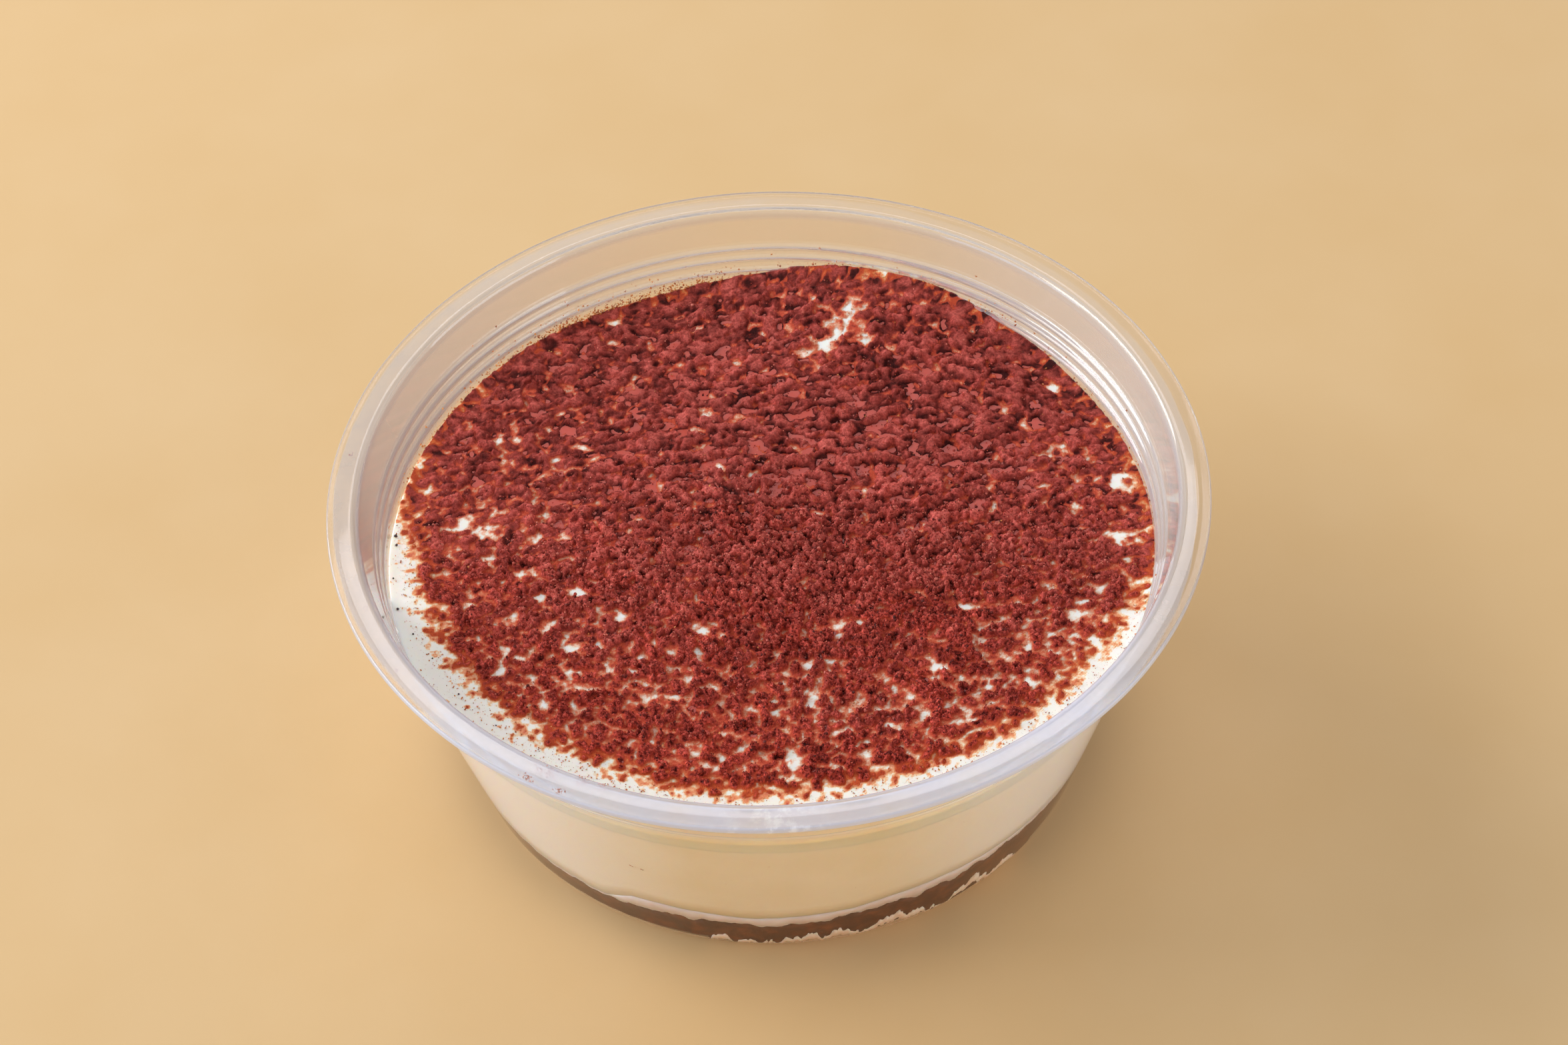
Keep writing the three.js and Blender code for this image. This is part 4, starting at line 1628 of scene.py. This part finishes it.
frosted_lines = plastic.maths("MULTIPLY_ADD", frosty, 0.45, drawn_lines)
rim_haze_and_painted_reflection = plastic.maths("MAXIMUM", frosted_lines, plastic.times(plastic.times(band, patchy), haze_and_painted_reflection))
print("with the rim: %d nodes" % len(plastic.tree.nodes))

# %% [markdown]
# Haze works like fog: what passes falls off exponentially with the length of the way. The
# way is longer where the sheet is seen edge-on, so the haze is divided by how much the
# surface faces the eye. Shadow rays and the food's own light pass straight through, so the
# food behind the wall isn't darkened.

# %% How much light passes unscattered
facing = plastic.node("LayerWeight")
facing.inputs["Blend"].default_value = 0.5
# All the haze together, with its painted highlights and painted reflection.
haze = plastic.maths("ADD", wall_haze_and_painted_light, rim_haze_and_painted_reflection)
towards = plastic.maths("MAXIMUM", plastic.maths("SUBTRACT", 1.0, facing.outputs["Facing"]), 0.08)
passing = plastic.maths("EXPONENT", plastic.times(plastic.maths("DIVIDE", haze, towards), -1.0))
plastic.join(passing, plastic.shader.inputs["Transmission Weight"])
plastic.set(Roughness=0.05, IOR=1.5)
print("with the passing light: %d nodes" % len(plastic.tree.nodes))

# %% Colour of the scattered light
# The lilac of the most milky band is also the colour of its painted reflection.
SCATTER_TONES = ((0.08, 0xD2C8BE), (0.22, 0xBEB0A6), (0.32, 0xD0CDD2), (0.38, 0xD6D5DF))

scatter = plastic.mix(frosty, plastic.ramp(haze_and_painted_reflection, SCATTER_TONES), 0xF4F5FA)
plastic.colour(plastic.mix(plastic.range(passing, 0.5, 0.95), scatter, 0xFAF8F6))
print("with its colours: %d nodes" % len(plastic.tree.nodes))

# %% Straight on for shadow and diffuse rays
path = plastic.node("LightPath")
straight = plastic.maths("MAXIMUM", path.outputs["Is Shadow Ray"], path.outputs["Is Diffuse Ray"])
clear = plastic.node("BsdfTransparent")
clear.inputs["Color"].default_value = tone(0xFCFBFA)
both = plastic.node("MixShader")
onward = plastic.maths("MULTIPLY_ADD", passing, 0.06, 0.94)
plastic.join(plastic.times(straight, onward), both.inputs[0])
plastic.join(plastic.shader.outputs[0], both.inputs[1])
plastic.join(clear.outputs[0], both.inputs[2])
plastic.join(both.outputs[0], plastic.output.inputs["Surface"])
plastic.give(tub)

# %% [markdown]
# The floor is a quiet warm tone, because clear plastic shows what it stands on. Its blots
# are wide and faint, so that it stays plain.

# %% The floor's finish
blotched("pale floor", 40.0, 3.0, ((0.3, 0xD9B37C), (0.7, 0xDCB884)), 0.7).give(floor)

# %% [markdown]
# ## Light
# A wide low window behind the tub at the left draws the bright lines on the beads, and
# throws the shadow to the right. Two weak windows soften it, and cards at both sides
# lighten the wall. They are area lights, because a wide light makes soft edges.

# %% Lights


def soft_light(name, place, width, height, power, colour):
    """A soft light of this width and height that faces the tub."""
    bpy.ops.object.light_add(type="AREA", location=place)
    lamp = bpy.context.object
    lamp.name = name
    lamp.data.shape = "RECTANGLE"
    lamp.data.size = width
    lamp.data.size_y = height
    lamp.data.energy = power
    lamp.data.color = colour
    towards_tub = Vector((0, 0, 0.03)) - Vector(place)
    lamp.rotation_euler = towards_tub.to_track_quat("-Z", "Y").to_euler()
    print("%s: %.1f W, %.0f by %.0f cm" % (name, power, width * 100, height * 100))


soft_light("left window", (-1.0, 0.33, 0.62), 1.1, 0.36, 12.5, (0.98, 1.0, 1.04))
soft_light("right window", (0.85, 0.75, 0.85), 0.6, 0.5, 1.5, (1.0, 0.98, 0.96))
soft_light("back window", (-0.03, 0.80, 1.05), 0.6, 0.26, 1.5, (0.98, 0.98, 1.05))
soft_light("right card", (0.9, -0.28, 0.2), 0.7, 0.5, 2.8, (0.84, 0.95, 1.1))
soft_light("left card", (-0.9, -0.35, 0.16), 0.7, 0.5, 1.8, (0.4, 0.85, 1.5))

# %% [markdown]
# The rest of the light comes from the room. It is what the clear wall and the rim mirror,
# so it isn't one grey: warm from the front, white from the right, bluish from the left and
# dim from above. An image of a room would do this too, but three smooth changes of colour
# are easier to steer.

# %% The room's own light
WARM, NEUTRAL = (1.08, 0.9, 0.66, 1), (0.62, 0.56, 0.5, 1)
WHITE, BLUISH, DIM = (1.15, 1.15, 1.2, 1), (0.85, 0.95, 1.1, 1), (0.4, 0.42, 0.46, 1)

world = bpy.data.worlds.new("room")
bpy.context.scene.world = world
world.use_nodes = True
room = Nodes(world.node_tree)
across, along_depth, up = room.axes(room.node("TexCoord").outputs["Generated"])
low = room.mix(room.range(along_depth, 0.6, -0.8), NEUTRAL, WARM)
low = room.mix(room.range(across, 0.35, 0.9), low, WHITE)
low = room.mix(room.range(across, -0.35, -0.9), low, BLUISH)
whole = room.mix(room.range(up, 0.1, 0.8), low, DIM)
room.join(whole, world.node_tree.nodes["Background"].inputs["Color"])
print("the room has %d nodes" % len(world.node_tree.nodes))

# %% [markdown]
# ## Camera
# The camera looks down on the tub from in front. A long lens keeps the rim's ellipse
# calm, where a wide one would swell its near side. It is turned a little about its own
# axis, as a camera held by hand is.

# %% Camera
CAMERA_PLACE = (0.00192, -0.34125, 0.39642)
CAMERA_TILT = 43.51
CAMERA_ROLL = -2.52

bpy.ops.object.camera_add(location=CAMERA_PLACE)
camera = bpy.context.object
camera.data.lens = 85
camera.data.sensor_width = 36
camera.data.sensor_fit = "HORIZONTAL"
camera.data.clip_start = 0.01
tilt = Matrix.Rotation(math.radians(CAMERA_TILT), 3, "X")
roll = Matrix.Rotation(math.radians(CAMERA_ROLL), 3, "Z")
camera.rotation_euler = (tilt @ roll).to_euler()
bpy.context.scene.camera = camera
bpy.context.scene.view_settings.view_transform = "Standard"
print("the camera is %.0f mm away" % (camera.location.length / MM))

# %% [markdown]
